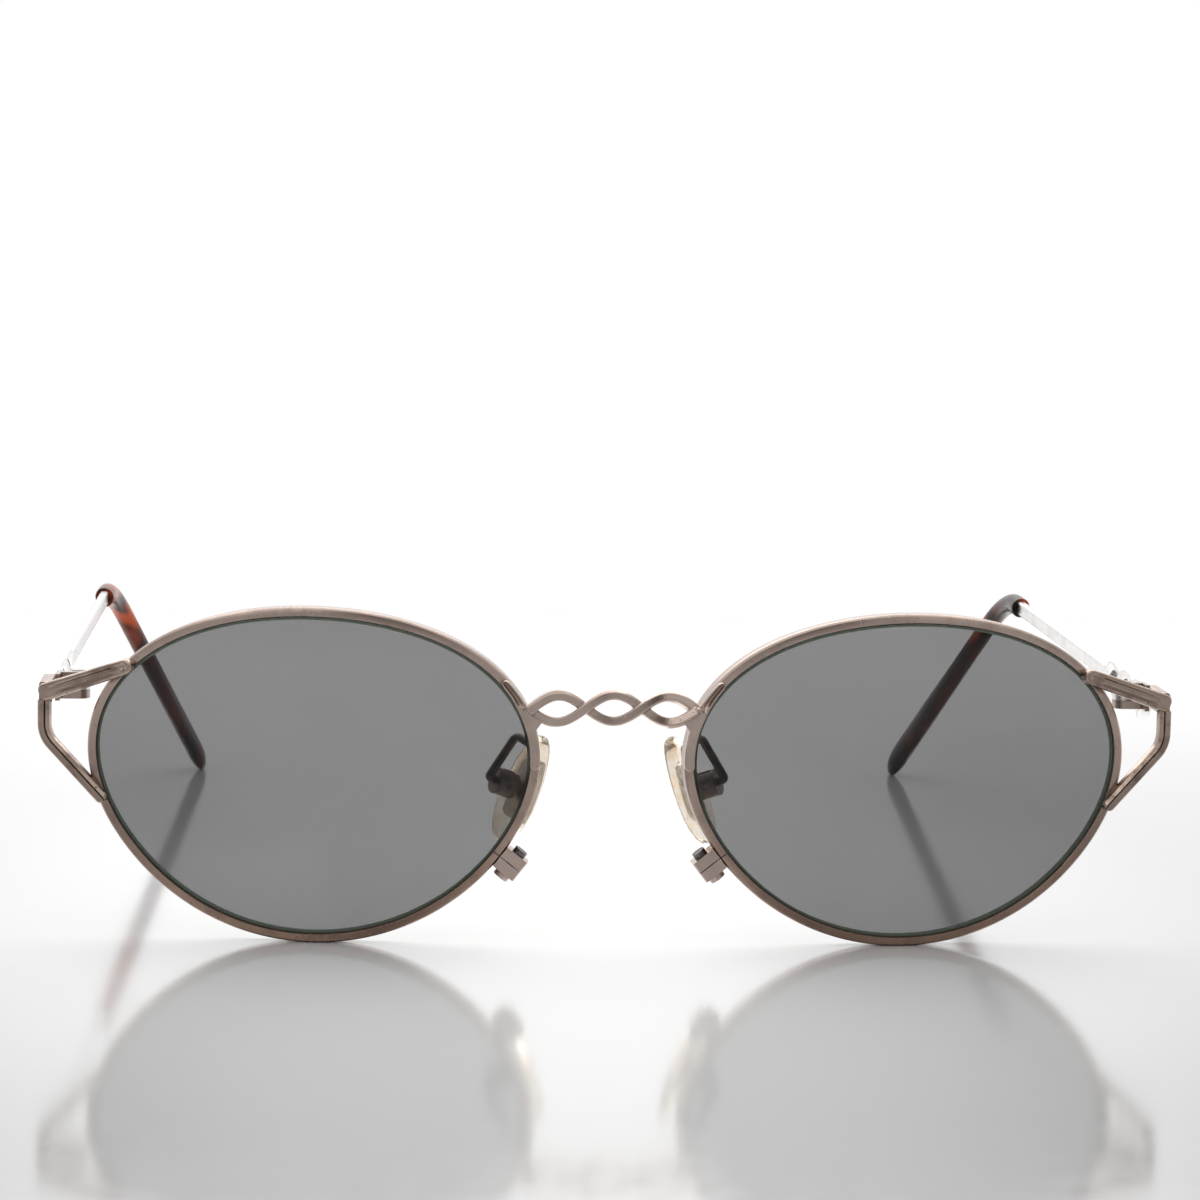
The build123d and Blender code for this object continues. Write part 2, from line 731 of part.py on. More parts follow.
def build_left_side(envelope):
    """Every piece of the wearer's left side, at +X, by name."""
    return {
        "rim": make_rim(split_plane),
        "lens": make_lens(),
        "end_bar": make_end_bar(0) - envelope,
        "end_loop": make_end_loop(make_end_bar(solder_film), envelope),
        "closing_block_upper": make_closing_block(upper_block_height, -1, envelope),
        "closing_block_lower": make_closing_block(lower_block_height, 1, envelope),
        "closing_screw": make_closing_screw(),
        "pad_arm": make_pad_arm() - envelope,
        "pad_box": make_pad_box(),
        "pad_screw": make_pad_screw(),
        "pad_core": make_bored_core(),
        "nose_pad": make_nose_pad(),
        "front_hinge_leaf": make_front_hinge_leaf(),
        "temple_hinge_leaf": make_temple_hinge_leaf(),
        "hinge_screw": make_hinge_screw(),
        "temple_twist": make_temple_twist(),
        "temple_bar": make_temple_bar(),
        "temple_tip": make_temple_tip(),
    }


def main():
    """Build all pieces, centre them over the table and write one file each."""
    envelope = make_envelope()
    pieces = {"bridge": make_bridge(envelope)}
    for name, shape in build_left_side(envelope).items():
        pieces["left_" + name] = shape
        pieces["right_" + name] = mirror(shape, about=Plane.YZ)
    box = Compound(children=[Compound(shape.solids()) for shape in pieces.values()]).bounding_box()
    centre_y = (box.min.Y + box.max.Y) / 2
    to_centre = Pos(0, -centre_y, -box.min.Z)
    os.makedirs("parts", exist_ok=True)
    for name, shape in pieces.items():
        export_step(to_centre * shape, f"parts/{name}.step")
    print("box", box.size, "moved by", -centre_y, -box.min.Z)
    print("hinge axis", hinge_x, hinge_depth - centre_y, hinge_height - box.min.Z)
    pad_pivot = pad_plane.from_local_coords(Vector(0, 0, -box_height)) + to_centre.position
    print("pad screw axis", pad_pivot, pad_plane.y_dir)


main()
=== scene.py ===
from math import atan2, cos, hypot, pi, radians, sin, sqrt, tan

import bmesh
import bpy
from mathutils import Matrix, Vector


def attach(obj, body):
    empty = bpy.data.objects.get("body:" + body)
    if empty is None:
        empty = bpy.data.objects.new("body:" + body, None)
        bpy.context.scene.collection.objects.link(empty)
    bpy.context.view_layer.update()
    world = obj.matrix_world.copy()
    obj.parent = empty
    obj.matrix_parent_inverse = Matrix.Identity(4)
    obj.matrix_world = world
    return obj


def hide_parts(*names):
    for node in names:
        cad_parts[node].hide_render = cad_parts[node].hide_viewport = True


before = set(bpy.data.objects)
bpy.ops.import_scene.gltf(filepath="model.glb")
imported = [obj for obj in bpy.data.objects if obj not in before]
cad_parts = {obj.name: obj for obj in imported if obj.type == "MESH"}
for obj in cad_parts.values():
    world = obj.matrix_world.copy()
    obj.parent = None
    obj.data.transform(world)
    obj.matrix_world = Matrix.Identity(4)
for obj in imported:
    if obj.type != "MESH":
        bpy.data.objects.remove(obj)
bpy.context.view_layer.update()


# Table and backdrop
# A sheet of glossy white acrylic that mirrors the lenses softly. Its colour is painted a little greyer
# towards the viewer and its sides, as painted shade where less light reaches it. The studio is white,
# with a dark band in front, behind the viewer, that the metal mirrors.
table_size = 1.2
table_far_edge = 0.26
table_drop = 0.00001
table_white = (0.9, 0.9, 0.9, 1)
painted_shade_grey = (0.42, 0.42, 0.42, 1)
near_span = (-0.31, -0.12)
near_shade = 0.6
brightest_across = -0.009
aside_span = (0.015, 0.11)
aside_fade_span = (0.62, 0.3)
aside_shade = 0.65
front_fade_span = (-0.3, 0.05)


def feed(tree, socket, value):
    """Set a socket to a value, or link another node's output to it."""
    if isinstance(value, bpy.types.NodeSocket):
        tree.links.new(value, socket)
    else:
        socket.default_value = value


def shader_node(tree, kind, **inputs):
    """A node of that kind, its inputs set by name to a value or to another node's output."""
    made = tree.nodes.new(kind)
    for name, value in inputs.items():
        feed(tree, made.inputs[name.replace("_", " ")], value)
    return made


def arithmetic(tree, operation, first, second):
    """Output of a sum, a product or another operation on two values or outputs."""
    made = tree.nodes.new("ShaderNodeMath")
    made.operation = operation
    feed(tree, made.inputs[0], first)
    feed(tree, made.inputs[1], second)
    return made.outputs[0]


def colour_between(tree, share, first, second):
    """Output of a colour that goes from the first to the second with a share from 0 to 1."""
    made = tree.nodes.new("ShaderNodeMix")
    made.data_type = "RGBA"
    for number, value in ((0, share), (6, first), (7, second)):
        feed(tree, made.inputs[number], value)
    return made.outputs[2]


def ramp_between(tree, value, low, high):
    """Output that rises smoothly from 0 to 1 as a value goes from low to high."""
    made = shader_node(tree, "ShaderNodeMapRange", Value=value, From_Min=low, From_Max=high)
    made.interpolation_type = "SMOOTHSTEP"
    return made.outputs["Result"]


def new_material(name):
    """Empty material with its node tree, its Principled shader and its output joined up."""
    material = bpy.data.materials.new(name)
    material.use_nodes = True
    tree = material.node_tree
    tree.nodes.clear()
    shader = tree.nodes.new("ShaderNodeBsdfPrincipled")
    output = tree.nodes.new("ShaderNodeOutputMaterial")
    tree.links.new(shader.outputs["BSDF"], output.inputs["Surface"])
    return material, tree, shader


def object_place(tree):
    """Output of the place on the object, in its own coordinates."""
    return tree.nodes.new("ShaderNodeTexCoord").outputs["Object"]


def vary_roughness(tree, shader, pattern, lowest, swing):
    """Link a roughness that rises from its lowest value by its swing where a pattern is high."""
    raised = arithmetic(tree, "ADD", arithmetic(tree, "MULTIPLY", pattern, swing), lowest)
    tree.links.new(raised, shader.inputs["Roughness"])


table_material, tree, shader = new_material("glossy white acrylic")
place = object_place(tree)
across, along, _ = shader_node(tree, "ShaderNodeSeparateXYZ", Vector=place).outputs
# The table's colour goes from white to grey towards the viewer and the sides: painted shade.
near = ramp_between(tree, arithmetic(tree, "MULTIPLY", along, -1), *near_span)
near = arithmetic(tree, "MULTIPLY", near, near_shade)
off_middle = arithmetic(tree, "SUBTRACT", across, brightest_across)
aside = ramp_between(tree, arithmetic(tree, "ABSOLUTE", off_middle, 0), *aside_span)
aside = arithmetic(tree, "MULTIPLY", aside, ramp_between(tree, along, *aside_fade_span))
side_shade = arithmetic(tree, "MULTIPLY", aside, arithmetic(tree, "ADD", near, aside_shade))
shade = arithmetic(tree, "ADD", near, side_shade)
shade = arithmetic(tree, "MULTIPLY", shade, ramp_between(tree, along, *front_fade_span))
tree.links.new(colour_between(tree, shade, table_white, painted_shade_grey), shader.inputs["Base Color"])
streaks = shader_node(tree, "ShaderNodeTexNoise", Vector=place, Scale=260.0, Detail=3.0)
vary_roughness(tree, shader, streaks.outputs[0], lowest=0.07, swing=0.06)
shader.inputs["IOR"].default_value = 1.6
shader.inputs["Metallic"].default_value = 0.3

bpy.ops.mesh.primitive_plane_add(
    size=table_size, location=(0, table_far_edge - table_size / 2, -table_drop)
)
table = bpy.context.object
table.name = "table"
table.data.materials.append(table_material)

world = bpy.data.worlds.new("white studio")
bpy.context.scene.world = world
world.use_nodes = True
tree = world.node_tree
tree.nodes.clear()
studio_dim = (0.62, 0.62, 0.63, 1)
studio_white = (1.0, 1.0, 1.0, 1)
studio_dark = (0.1, 0.09, 0.085, 1)
bright_span = (-0.9, 0.5)
dark_low_span = (0.14, 0.3)
dark_high_span = (0.6, 0.8)
dark_front_span = (0.15, 0.5)
direction = tree.nodes.new("ShaderNodeTexCoord").outputs["Generated"]
_, toward_back, upward = shader_node(tree, "ShaderNodeSeparateXYZ", Vector=direction).outputs
bright_share = ramp_between(tree, arithmetic(tree, "ADD", toward_back, upward), *bright_span)
studio_colour = colour_between(tree, bright_share, studio_dim, studio_white)
above_low = ramp_between(tree, upward, *dark_low_span)
above_high = ramp_between(tree, upward, *dark_high_span)
dark_share = arithmetic(tree, "SUBTRACT", above_low, above_high)
front_share = ramp_between(tree, arithmetic(tree, "MULTIPLY", toward_back, -1), *dark_front_span)
dark_share = arithmetic(tree, "MULTIPLY", dark_share, front_share)
studio_colour = colour_between(tree, dark_share, studio_colour, studio_dark)
paths = tree.nodes.new("ShaderNodeLightPath")
seen = arithmetic(
    tree, "MAXIMUM", paths.outputs["Is Camera Ray"], paths.outputs["Is Transmission Ray"]
)
studio_colour = colour_between(tree, seen, studio_colour, studio_white)
background = shader_node(tree, "ShaderNodeBackground", Color=studio_colour)
output = tree.nodes.new("ShaderNodeOutputWorld")
tree.links.new(background.outputs[0], output.inputs["Surface"])


# Studio light
# One wide soft box behind and above the frame throws its light on the white table.
# Two weak ones in front lift the metal's plain faces.
frame_middle = Vector((0, 0, 0.02))


def soft_box(name, place, size, power):
    """Square area light at a place, aimed at the middle of the frame."""
    light = bpy.data.lights.new(name, "AREA")
    light.size = size
    light.energy = power
    lamp = bpy.data.objects.new(name, light)
    lamp.location = place
    lamp.rotation_euler = (frame_middle - Vector(place)).to_track_quat("-Z", "Y").to_euler()
    bpy.context.scene.collection.objects.link(lamp)


soft_box("back soft box", place=(0.0, 0.55, 0.7), size=1.1, power=7.0)
soft_box("left front soft box", place=(-0.35, -0.75, 0.55), size=0.5, power=1.1)
soft_box("right front soft box", place=(0.4, -0.75, 0.5), size=0.5, power=0.6)


# Camera
# Half a metre in front of the frame, a little to the viewer's left of it and just above it, and
# tilted slightly to one side, with a long lens.
camera_place = Vector((-0.0327, -0.5137, 0.0906))
camera_yaw = radians(3.94)
camera_pitch = radians(6.42)
camera_roll = radians(1.11)
focal_length = 119.67

ahead = Vector(
    (sin(camera_yaw) * cos(camera_pitch), cos(camera_yaw) * cos(camera_pitch), -sin(camera_pitch))
)
level_right = Vector((cos(camera_yaw), -sin(camera_yaw), 0))
level_up = level_right.cross(ahead)
camera_right = cos(camera_roll) * level_right + sin(camera_roll) * level_up
camera_up = -sin(camera_roll) * level_right + cos(camera_roll) * level_up
camera_data = bpy.data.cameras.new("camera")
camera_data.lens = focal_length
camera_data.clip_start = 0.01
camera = bpy.data.objects.new("camera", camera_data)
turn = Matrix((camera_right, camera_up, -ahead)).transposed()
camera.matrix_world = Matrix.Translation(camera_place) @ turn.to_4x4()
bpy.context.scene.collection.objects.link(camera)
bpy.context.scene.camera = camera
bpy.context.scene.view_settings.view_transform = "Standard"


# Rims
# Each eyewire is a rolled nickel silver strip bent round the lens, with a groove inside for the lens.
# It is split at the lower inner side, where the closing blocks clamp it. Its antique pewter plate is
# painted darker and browner low down, as painted shade.
rim_half_width = 0.02574
rim_half_height = 0.0193
egg_share = 0.0324
slant_share = 0.0087
rims_apart = 0.01722
wrap = radians(5.0)
base_curve = 0.088
front_y = -0.06561
table_gap = 0.0000025
lens_thickness = 0.0018
rim_band = 0.00112
rim_depth = 0.0022
rim_chamfer = 0.0002
inner_bevel = 0.00016
inner_bevel_depth = 0.00026
rim_edge_round = 0.00005
groove_depth = 0.0005
groove_width = 0.0009
split_angle = radians(210.8)
split_gap = 0.00012
rim_steps = 288
corner_steps = 4
same_point = 1e-7


def outline_point(angle, outward):
    """Point of the rim's outline in the lens plane, moved outward along its normal."""
    swell = 1 + slant_share * sin(2 * angle) + egg_share * sin(3 * angle)
    slope = 2 * slant_share * cos(2 * angle) + 3 * egg_share * cos(3 * angle)
    run = rim_half_width * (slope * cos(angle) - swell * sin(angle))
    climb = rim_half_height * (slope * sin(angle) + swell * cos(angle))
    length = hypot(run, climb)
    u = rim_half_width * swell * cos(angle) + outward * climb / length
    v = rim_half_height * swell * sin(angle) - outward * run / length
    return u, v


rim_bottom = outline_point(3 * pi / 2, 0)[1]
lens_centre = Vector((rims_apart / 2 + rim_half_width, front_y, table_gap - rim_bottom))
lens_right = Vector((cos(wrap), sin(wrap), 0))
lens_ahead = Vector((sin(wrap), -cos(wrap), 0))
lens_middle_radius = base_curve - lens_thickness / 2
rim_front_radius = lens_middle_radius + rim_depth / 2


def on_ball(u, v, radius):
    """Point in space over a point of the lens plane, on the ball of that radius."""
    height = sqrt(radius**2 - u**2 - v**2) - base_curve
    return lens_centre + u * lens_right + Vector((0, 0, v)) + height * lens_ahead


def on_rim(angle, outward, radius):
    """Point in space at an angle round the rim, on the ball of that radius."""
    return on_ball(*outline_point(angle, outward), radius)


def corner_arc(before, corner, after, radius):
    """Middle of the arc that rounds a corner, its two ends from there, and half the corner's angle."""
    back = (before - corner).normalized()
    onward = (after - corner).normalized()
    half_turn = back.angle(onward) / 2
    middle = corner + (back + onward).normalized() * (radius / sin(half_turn))
    first = corner + back * (radius / tan(half_turn)) - middle
    last = corner + onward * (radius / tan(half_turn)) - middle
    return middle, first, last, half_turn


def rounded(corners):
    """Closed outline through corners (x, y, radius), each turned into an arc."""
    points = []
    for n, (x, y, radius) in enumerate(corners):
        corner = Vector((x, y))
        before = Vector(corners[n - 1][:2])
        after = Vector(corners[(n + 1) % len(corners)][:2])
        middle, first, last, _ = corner_arc(before, corner, after, radius)
        for k in range(corner_steps + 1):
            arc_point = middle + radius * first.slerp(last, k / corner_steps) if radius else corner
            points.append(arc_point)
    return points


def new_piece(name, vertices, faces, sharp_turn=radians(35)):
    """Smooth-shaded object with its faces turned outward and its sharp edges kept crisp."""
    mesh = bpy.data.meshes.new(name)
    mesh.from_pydata(vertices, [], faces)
    shell = bmesh.new()
    shell.from_mesh(mesh)
    bmesh.ops.remove_doubles(shell, verts=shell.verts, dist=same_point)
    bmesh.ops.recalc_face_normals(shell, faces=shell.faces)
    shell.to_mesh(mesh)
    shell.free()
    mesh.shade_smooth()
    mesh.set_sharp_from_angle(angle=sharp_turn)
    piece = bpy.data.objects.new(name, mesh)
    bpy.context.scene.collection.objects.link(piece)
    return piece


def skin(rings, first=0):
    """Vertices and faces of a skin over rings of points, closed at its two ends."""
    count = len(rings[0])
    vertices = [point for ring in rings for point in ring]
    faces = []
    for n in range(len(rings) - 1):
        here = first + n * count
        there = here + count
        for k in range(count):
            after = (k + 1) % count
            faces.append((here + k, here + after, there + after, there + k))
    last = first + (len(rings) - 1) * count
    faces.append(tuple(range(first, first + count)))
    faces.append(tuple(range(last, last + count)))
    return vertices, faces


sides = (("left", 1), ("right", -1))


def to_side(rings, sign):
    """Rings of the left side, or with sign -1 their mirror image on the right side."""
    return [[Vector((sign * x, y, z)) for x, y, z in ring] for ring in rings]


def fit_piece(piece, node, body, material):
    """Put a modelled piece in the place of its CAD node, on that body, with its finish."""
    piece.data.materials.append(material)
    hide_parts(node)
    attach(piece, body)


crevice_reach = 0.0005
edge_reach = 0.00016
wear_samples = 6
crevice_span = (0.08, 0.7)
rubbed_span = (0.42, 0.8)
stain_span = (0.42, 0.72)
pit_size = 0.16
pit_slope_span = (0.0, 0.07)
crevice_dirt = 0.85
most_rubbed = 0.7
dirt_dullness = 0.22
grain_share = 0.35
bump_strength = 0.35
bump_height = 0.00003
rim_height_span = (-0.004, 0.03)
pewter_patina = (0.09, 0.06, 0.05, 1)

# Dirt and tarnish gather in crevices, clouds and pits, and edges are rubbed through to the metal
wear = bpy.data.node_groups.new("worn plating", "ShaderNodeTree")
for way, kind, labels in (
    ("INPUT", "NodeSocketColor", ("Plate", "Patina", "Rubbed")),
    ("INPUT", "NodeSocketFloat", ("Tarnish", "Polish")),
    ("OUTPUT", "NodeSocketColor", ("Color",)),
    ("OUTPUT", "NodeSocketFloat", ("Roughness", "Height")),
):
    for label in labels:
        wear.interface.new_socket(label, in_out=way, socket_type=kind)
given = wear.nodes.new("NodeGroupInput").outputs
result = wear.nodes.new("NodeGroupOutput").inputs
place = object_place(wear)
crevices = shader_node(wear, "ShaderNodeAmbientOcclusion", Distance=crevice_reach)
edges = shader_node(wear, "ShaderNodeAmbientOcclusion", Distance=edge_reach)
edges.inside = True
for finder in (crevices, edges):
    finder.samples = wear_samples
    finder.only_local = True
closed_in = arithmetic(wear, "SUBTRACT", 1.0, crevices.outputs["AO"])
cavity = ramp_between(wear, closed_in, *crevice_span)
standing_out = arithmetic(wear, "SUBTRACT", 1.0, edges.outputs["AO"])
rubbed = ramp_between(wear, standing_out, *rubbed_span)
clouds = shader_node(wear, "ShaderNodeTexNoise", Vector=place, Scale=330.0, Detail=4.0, Roughness=0.6)
grain = shader_node(wear, "ShaderNodeTexNoise", Vector=place, Scale=4200.0, Detail=2.0)
spots = shader_node(wear, "ShaderNodeTexVoronoi", Vector=place, Scale=900.0)
depth = arithmetic(wear, "SUBTRACT", pit_size, spots.outputs["Distance"])
pits = ramp_between(wear, depth, *pit_slope_span)
cloudy = ramp_between(wear, clouds.outputs[0], *stain_span)
stained = arithmetic(wear, "MULTIPLY", cloudy, given["Tarnish"])
dirt = arithmetic(wear, "MAXIMUM", arithmetic(wear, "MULTIPLY", cavity, crevice_dirt), stained)
dirt = arithmetic(wear, "MAXIMUM", dirt, arithmetic(wear, "MULTIPLY", pits, given["Tarnish"]))
tarnished = colour_between(wear, dirt, given["Plate"], given["Patina"])
rubbed = arithmetic(wear, "MULTIPLY", rubbed, most_rubbed)
wear.links.new(colour_between(wear, rubbed, tarnished, given["Rubbed"]), result["Color"])
dull = arithmetic(wear, "MULTIPLY", dirt, dirt_dullness)
wear.links.new(arithmetic(wear, "ADD", given["Polish"], dull), result["Roughness"])
raised = arithmetic(wear, "MULTIPLY", grain.outputs[0], grain_share)
wear.links.new(arithmetic(wear, "SUBTRACT", raised, pits), result["Height"])


def plating(name, plate, patina, rubbed_through, tarnish, polish, shaded_plate_low=None):
    """Plated metal, worn and tarnished by the shared group, and painted low down in a second colour as
    painted shade.
    """
    material, tree, shader = new_material(name)
    worn = tree.nodes.new("ShaderNodeGroup")
    worn.node_tree = wear
    if shaded_plate_low:
        _, _, height = shader_node(tree, "ShaderNodeSeparateXYZ", Vector=object_place(tree)).outputs
        height_share = ramp_between(tree, height, *rim_height_span)
        plate = colour_between(tree, height_share, shaded_plate_low, plate)
    feed(tree, worn.inputs["Plate"], plate)
    worn.inputs["Patina"].default_value = patina
    worn.inputs["Rubbed"].default_value = rubbed_through
    worn.inputs["Tarnish"].default_value = tarnish
    worn.inputs["Polish"].default_value = polish
    tree.links.new(worn.outputs["Color"], shader.inputs["Base Color"])
    tree.links.new(worn.outputs["Roughness"], shader.inputs["Roughness"])
    bump = shader_node(tree, "ShaderNodeBump", Strength=bump_strength, Distance=bump_height)
    tree.links.new(worn.outputs["Height"], bump.inputs["Height"])
    tree.links.new(bump.outputs[0], shader.inputs["Normal"])
    shader.inputs["Metallic"].default_value = 1.0
    return material


# The darker, browner plate colour low on the rims is painted shade.
rim_pewter = plating(
    "rim pewter plate",
    plate=(0.46, 0.365, 0.315, 1),
    patina=pewter_patina,
    rubbed_through=(0.8, 0.68, 0.6, 1),
    tarnish=0.28,
    polish=0.24,
    shaded_plate_low=(0.22, 0.145, 0.11, 1),
)


def rim_profile():
    """Section of the eyewire as (outward, radius), from its outer back corner to its inner one."""
    inner = -rim_band
    groove_front = groove_width / 2 - rim_depth / 2
    groove_back = -groove_width / 2 - rim_depth / 2
    corners = [
        (-rim_chamfer, -rim_depth, rim_edge_round),
        (0, rim_chamfer - rim_depth, rim_edge_round),
        (0, -rim_chamfer, rim_edge_round),
        (-rim_chamfer, 0, rim_edge_round),
        (inner + inner_bevel, 0, rim_edge_round),
        (inner, -inner_bevel_depth, 0),
        (inner, groove_front, 0),
        (inner + groove_depth, groove_front, 0),
        (inner + groove_depth, groove_back, 0),
        (inner, groove_back, 0),
        (inner, -rim_depth, rim_edge_round),
    ]
    section = []
    for point in rounded(corners):
        if not section or (point - section[-1]).length > same_point:
            section.append(point)
    return [(point.x, rim_front_radius + point.y) for point in section]


small_turn = 0.01
split_step = (
    on_rim(split_angle + small_turn, 0, rim_front_radius) - on_rim(split_angle, 0, rim_front_radius)
).length
half_split = split_gap / 2 * small_turn / split_step
whole_turn = 2 * pi - 2 * half_split
rim_turns = [split_angle + half_split + whole_turn * n / rim_steps for n in range(rim_steps + 1)]
profile = rim_profile()
rim_rings = [[on_rim(turn, *point) for point in profile] for turn in rim_turns]
for side, sign in sides:
    rim = new_piece(f"{side}_eyewire", *skin(to_side(rim_rings, sign)))
    fit_piece(rim, f"{side}_rim", "front", rim_pewter)


# Lenses
# Each lens is a ground meniscus of neutral grey glass with a bevel all round that sits in the rim's
# groove. Its fine ground edge is dark green: partly the green of the glass, partly painted shade of
# the groove. Faint smears vary its tint.
lens_play = 0.00006
lens_gap = 0.00026
lens_tint = (0.222, 0.223, 0.223, 1)
smeared_tint = (0.214, 0.215, 0.215, 1)
smear_span = (0.3, 0.8)
# The edge's dark tint is partly the glass's own green and partly painted shade of the rim's groove.
edge_green_and_shade = (0.035, 0.05, 0.035, 1)
lens_rings = 40
lens_steps = 192
lens_sharp_turn = radians(20)

lens_material, tree, shader = new_material("grey lens glass")
smears = shader_node(
    tree, "ShaderNodeTexNoise", Vector=object_place(tree), Scale=70.0, Detail=5.0
)
smeared = ramp_between(tree, smears.outputs[0], *smear_span)
tree.links.new(colour_between(tree, smeared, lens_tint, smeared_tint), shader.inputs["Base Color"])
shader.inputs["Roughness"].default_value = 0.0
shader.inputs["Specular IOR Level"].default_value = 0.05
shader.inputs["Transmission Weight"].default_value = 1.0
shader.inputs["IOR"].default_value = 1.3

lens_edge_material, tree, shader = new_material("ground lens edge")
grind = shader_node(
    tree, "ShaderNodeTexNoise", Vector=object_place(tree), Scale=1500.0, Detail=3.0
)
vary_roughness(tree, shader, grind.outputs[0], lowest=0.25, swing=0.3)
shader.inputs["Base Color"].default_value = edge_green_and_shade
shader.inputs["Transmission Weight"].default_value = 0.5
shader.inputs["IOR"].default_value = 1.5


def lens_rows():
    """Rings of the lens from the middle of its front, round its bevel, to the middle of its back."""
    tongue = groove_depth - rim_band - lens_play
    tongue_half = groove_width / 2 - lens_play
    turns = [2 * pi * n / lens_steps for n in range(lens_steps)]
    shares = [sin(pi / 2 * n / lens_rings) for n in range(1, lens_rings + 1)]
    border = [outline_point(turn, -rim_band - lens_gap) for turn in turns]
    rows = []
    for share in shares:
        rows.append([on_ball(u * share, v * share, base_curve) for u, v in border])
    for radius in (lens_middle_radius + tongue_half, lens_middle_radius - tongue_half):
        rows.append([on_rim(turn, tongue, radius) for turn in turns])
    for share in reversed(shares):
        rows.append([on_ball(u * share, v * share, base_curve - lens_thickness) for u, v in border])
    return rows


rows = lens_rows()
first_edge_face = (lens_rings - 1) * lens_steps
last_edge_face = first_edge_face + 3 * lens_steps
for side, sign in sides:
    lens = new_piece(f"{side}_tinted_lens", *skin(to_side(rows, sign)), lens_sharp_turn)
    fit_piece(lens, f"{side}_lens", "front", lens_material)
    lens.data.materials.append(lens_edge_material)
    for face in lens.data.polygons[first_edge_face:last_edge_face]:
        face.material_index = 1


# Bridge
# One casting of two flat strands, bevelled along their upper edges, that cross over into three
# loops. At each end a foot with two legs, joined to the twist by a thin web, is soldered on the rim.
bridge_angle = radians(157.7)
bridge_depth = 0.0013
bridge_stub = 0.0006
bridge_twist_height = 0.00405
bridge_strand_width = 0.00103
bridge_strand_depth = 0.0015
bridge_bevel = 0.0004
bridge_weave = 0.00028
bridge_arch = 0.00025
foot_upper = radians(148.0)
foot_lower = radians(177.0)
foot_width = 0.00115
foot_thickness = 0.0008
foot_lip = 0.0001
foot_hollow = 0.00038
foot_steps = 24
foot_edge_share = 0.72
foot_flatness = 6
upper_leg_narrowing = 0.22
upper_leg_hollow_growth = 3
hollow_half_share = 0.62
web_angle = radians(165.0)
web_reach = 0.0015
web_drop = 0.0013
web_thickness = 0.001
web_setback = 0.00005
twist_loops = 3
loop_steps = 16
strand_corner_share = 0.2
least_bevel_share = 0.3
strand_dome_share = 1 / 3
stub_corner_share = 0.3
casting_grain = 0.00005
solder_film = 0.00003


def sweep(path, sections, side_way):
    """Rings along a path, each from its own section of (sideways, upward) points."""
    rings = []
    sideways = Vector(side_way)
    last = len(path) - 1
    for n, point in enumerate(path):
        along_path = (path[min(n + 1, last)] - path[max(n - 1, 0)]).normalized()
        sideways = (sideways - along_path * sideways.dot(along_path)).normalized()
        upward_way = along_path.cross(sideways)
        rings.append([point + sideways * a + upward_way * b for a, b in sections[n]])
    return rings


def arc_turns(step, count):
    """Turns along an arc in a number of equal steps, each of so many degrees."""
    return [radians(step) * k for k in range(1, count + 1)]


def end_dome(end, way, section, dome):
    """Points past the end of a path, and smaller sections there, that close a sweep with a dome."""
    turns = arc_turns(16.8, 5)
    path = [end + way.normalized() * dome * sin(turn) for turn in turns]
    return path, [[(a * cos(turn), b * cos(turn)) for a, b in section] for turn in turns]


def soft_rectangle(width, height, corner):
    """Section of a bar with rounded corners."""
    w, h = width / 2, height / 2
    return rounded([(-w, -h, corner), (w, -h, corner), (w, h, corner), (-w, h, corner)])


def skins(islands):
    """Vertices and faces of the skins of several bodies of rings."""
    vertices = []
    faces = []
    for rings in islands:
        more_vertices, more_faces = skin(rings, len(vertices))
        vertices += more_vertices
        faces += more_faces
    return vertices, faces


def cast(name, islands, grain_size):
    """One skin over overlapping bodies of rings, its corners softened as in a casting."""
    piece = new_piece(name, *skins(islands))
    melt = piece.modifiers.new("melt", "REMESH")
    melt.mode = "VOXEL"
    melt.voxel_size = grain_size
    melt.use_smooth_shade = True
    soften = piece.modifiers.new("soften", "SMOOTH")
    soften.factor = 0.5
    soften.iterations = 2
    done = piece.evaluated_get(bpy.context.evaluated_depsgraph_get())
    piece.data = bpy.data.meshes.new_from_object(done)
    piece.modifiers.clear()
    return piece


def twist_strands(pitch, height, width, depth, bevel, weave, arch, to_space):
    """Rings of two strands that cross over each other along X, the rising one in front."""
    swing = (height - width) / 2
    total = twist_loops * pitch
    steps = twist_loops * loop_steps
    half_depth = depth / 2
    half_width = width / 2
    corner = strand_corner_share * width
    dome = strand_dome_share * width
    strands = []
    for strand_side in (1, -1):
        path = []
        sections = []
        for n in range(steps + 1):
            phase = twist_loops * pi * n / steps
            x = total * n / steps
            lift = arch * (1 - (2 * x / total - 1) ** 2)
            backward = strand_side * weave * cos(phase)
            rise = -strand_side * sin(phase)
            path.append(to_space(x, backward, lift + swing * rise))
            cut = bevel * (least_bevel_share + (1 - least_bevel_share) * max(rise, 0))
            cut_corner = cut / 4
            top = half_width + cut / 2
            outline = [
                (-half_depth, -half_width, corner),
                (half_depth, -half_width, corner),
                (half_depth, top, corner),
                (cut - half_depth, top, cut_corner),
                (-half_depth, top - cut, cut_corner),
            ]
            sections.append(rounded(outline))
        side_way = to_space(0, 1, 0) - to_space(0, 0, 0)
        before, before_sections = end_dome(path[0], path[0] - path[1], sections[0], dome)
        after, after_sections = end_dome(path[-1], path[-1] - path[-2], sections[-1], dome)
        whole_path = before[::-1] + path + after
        whole_sections = before_sections[::-1] + sections + after_sections
        strands.append(sweep(whole_path, whole_sections, side_way))
    return strands


foot_middle = foot_lip - foot_width / 2


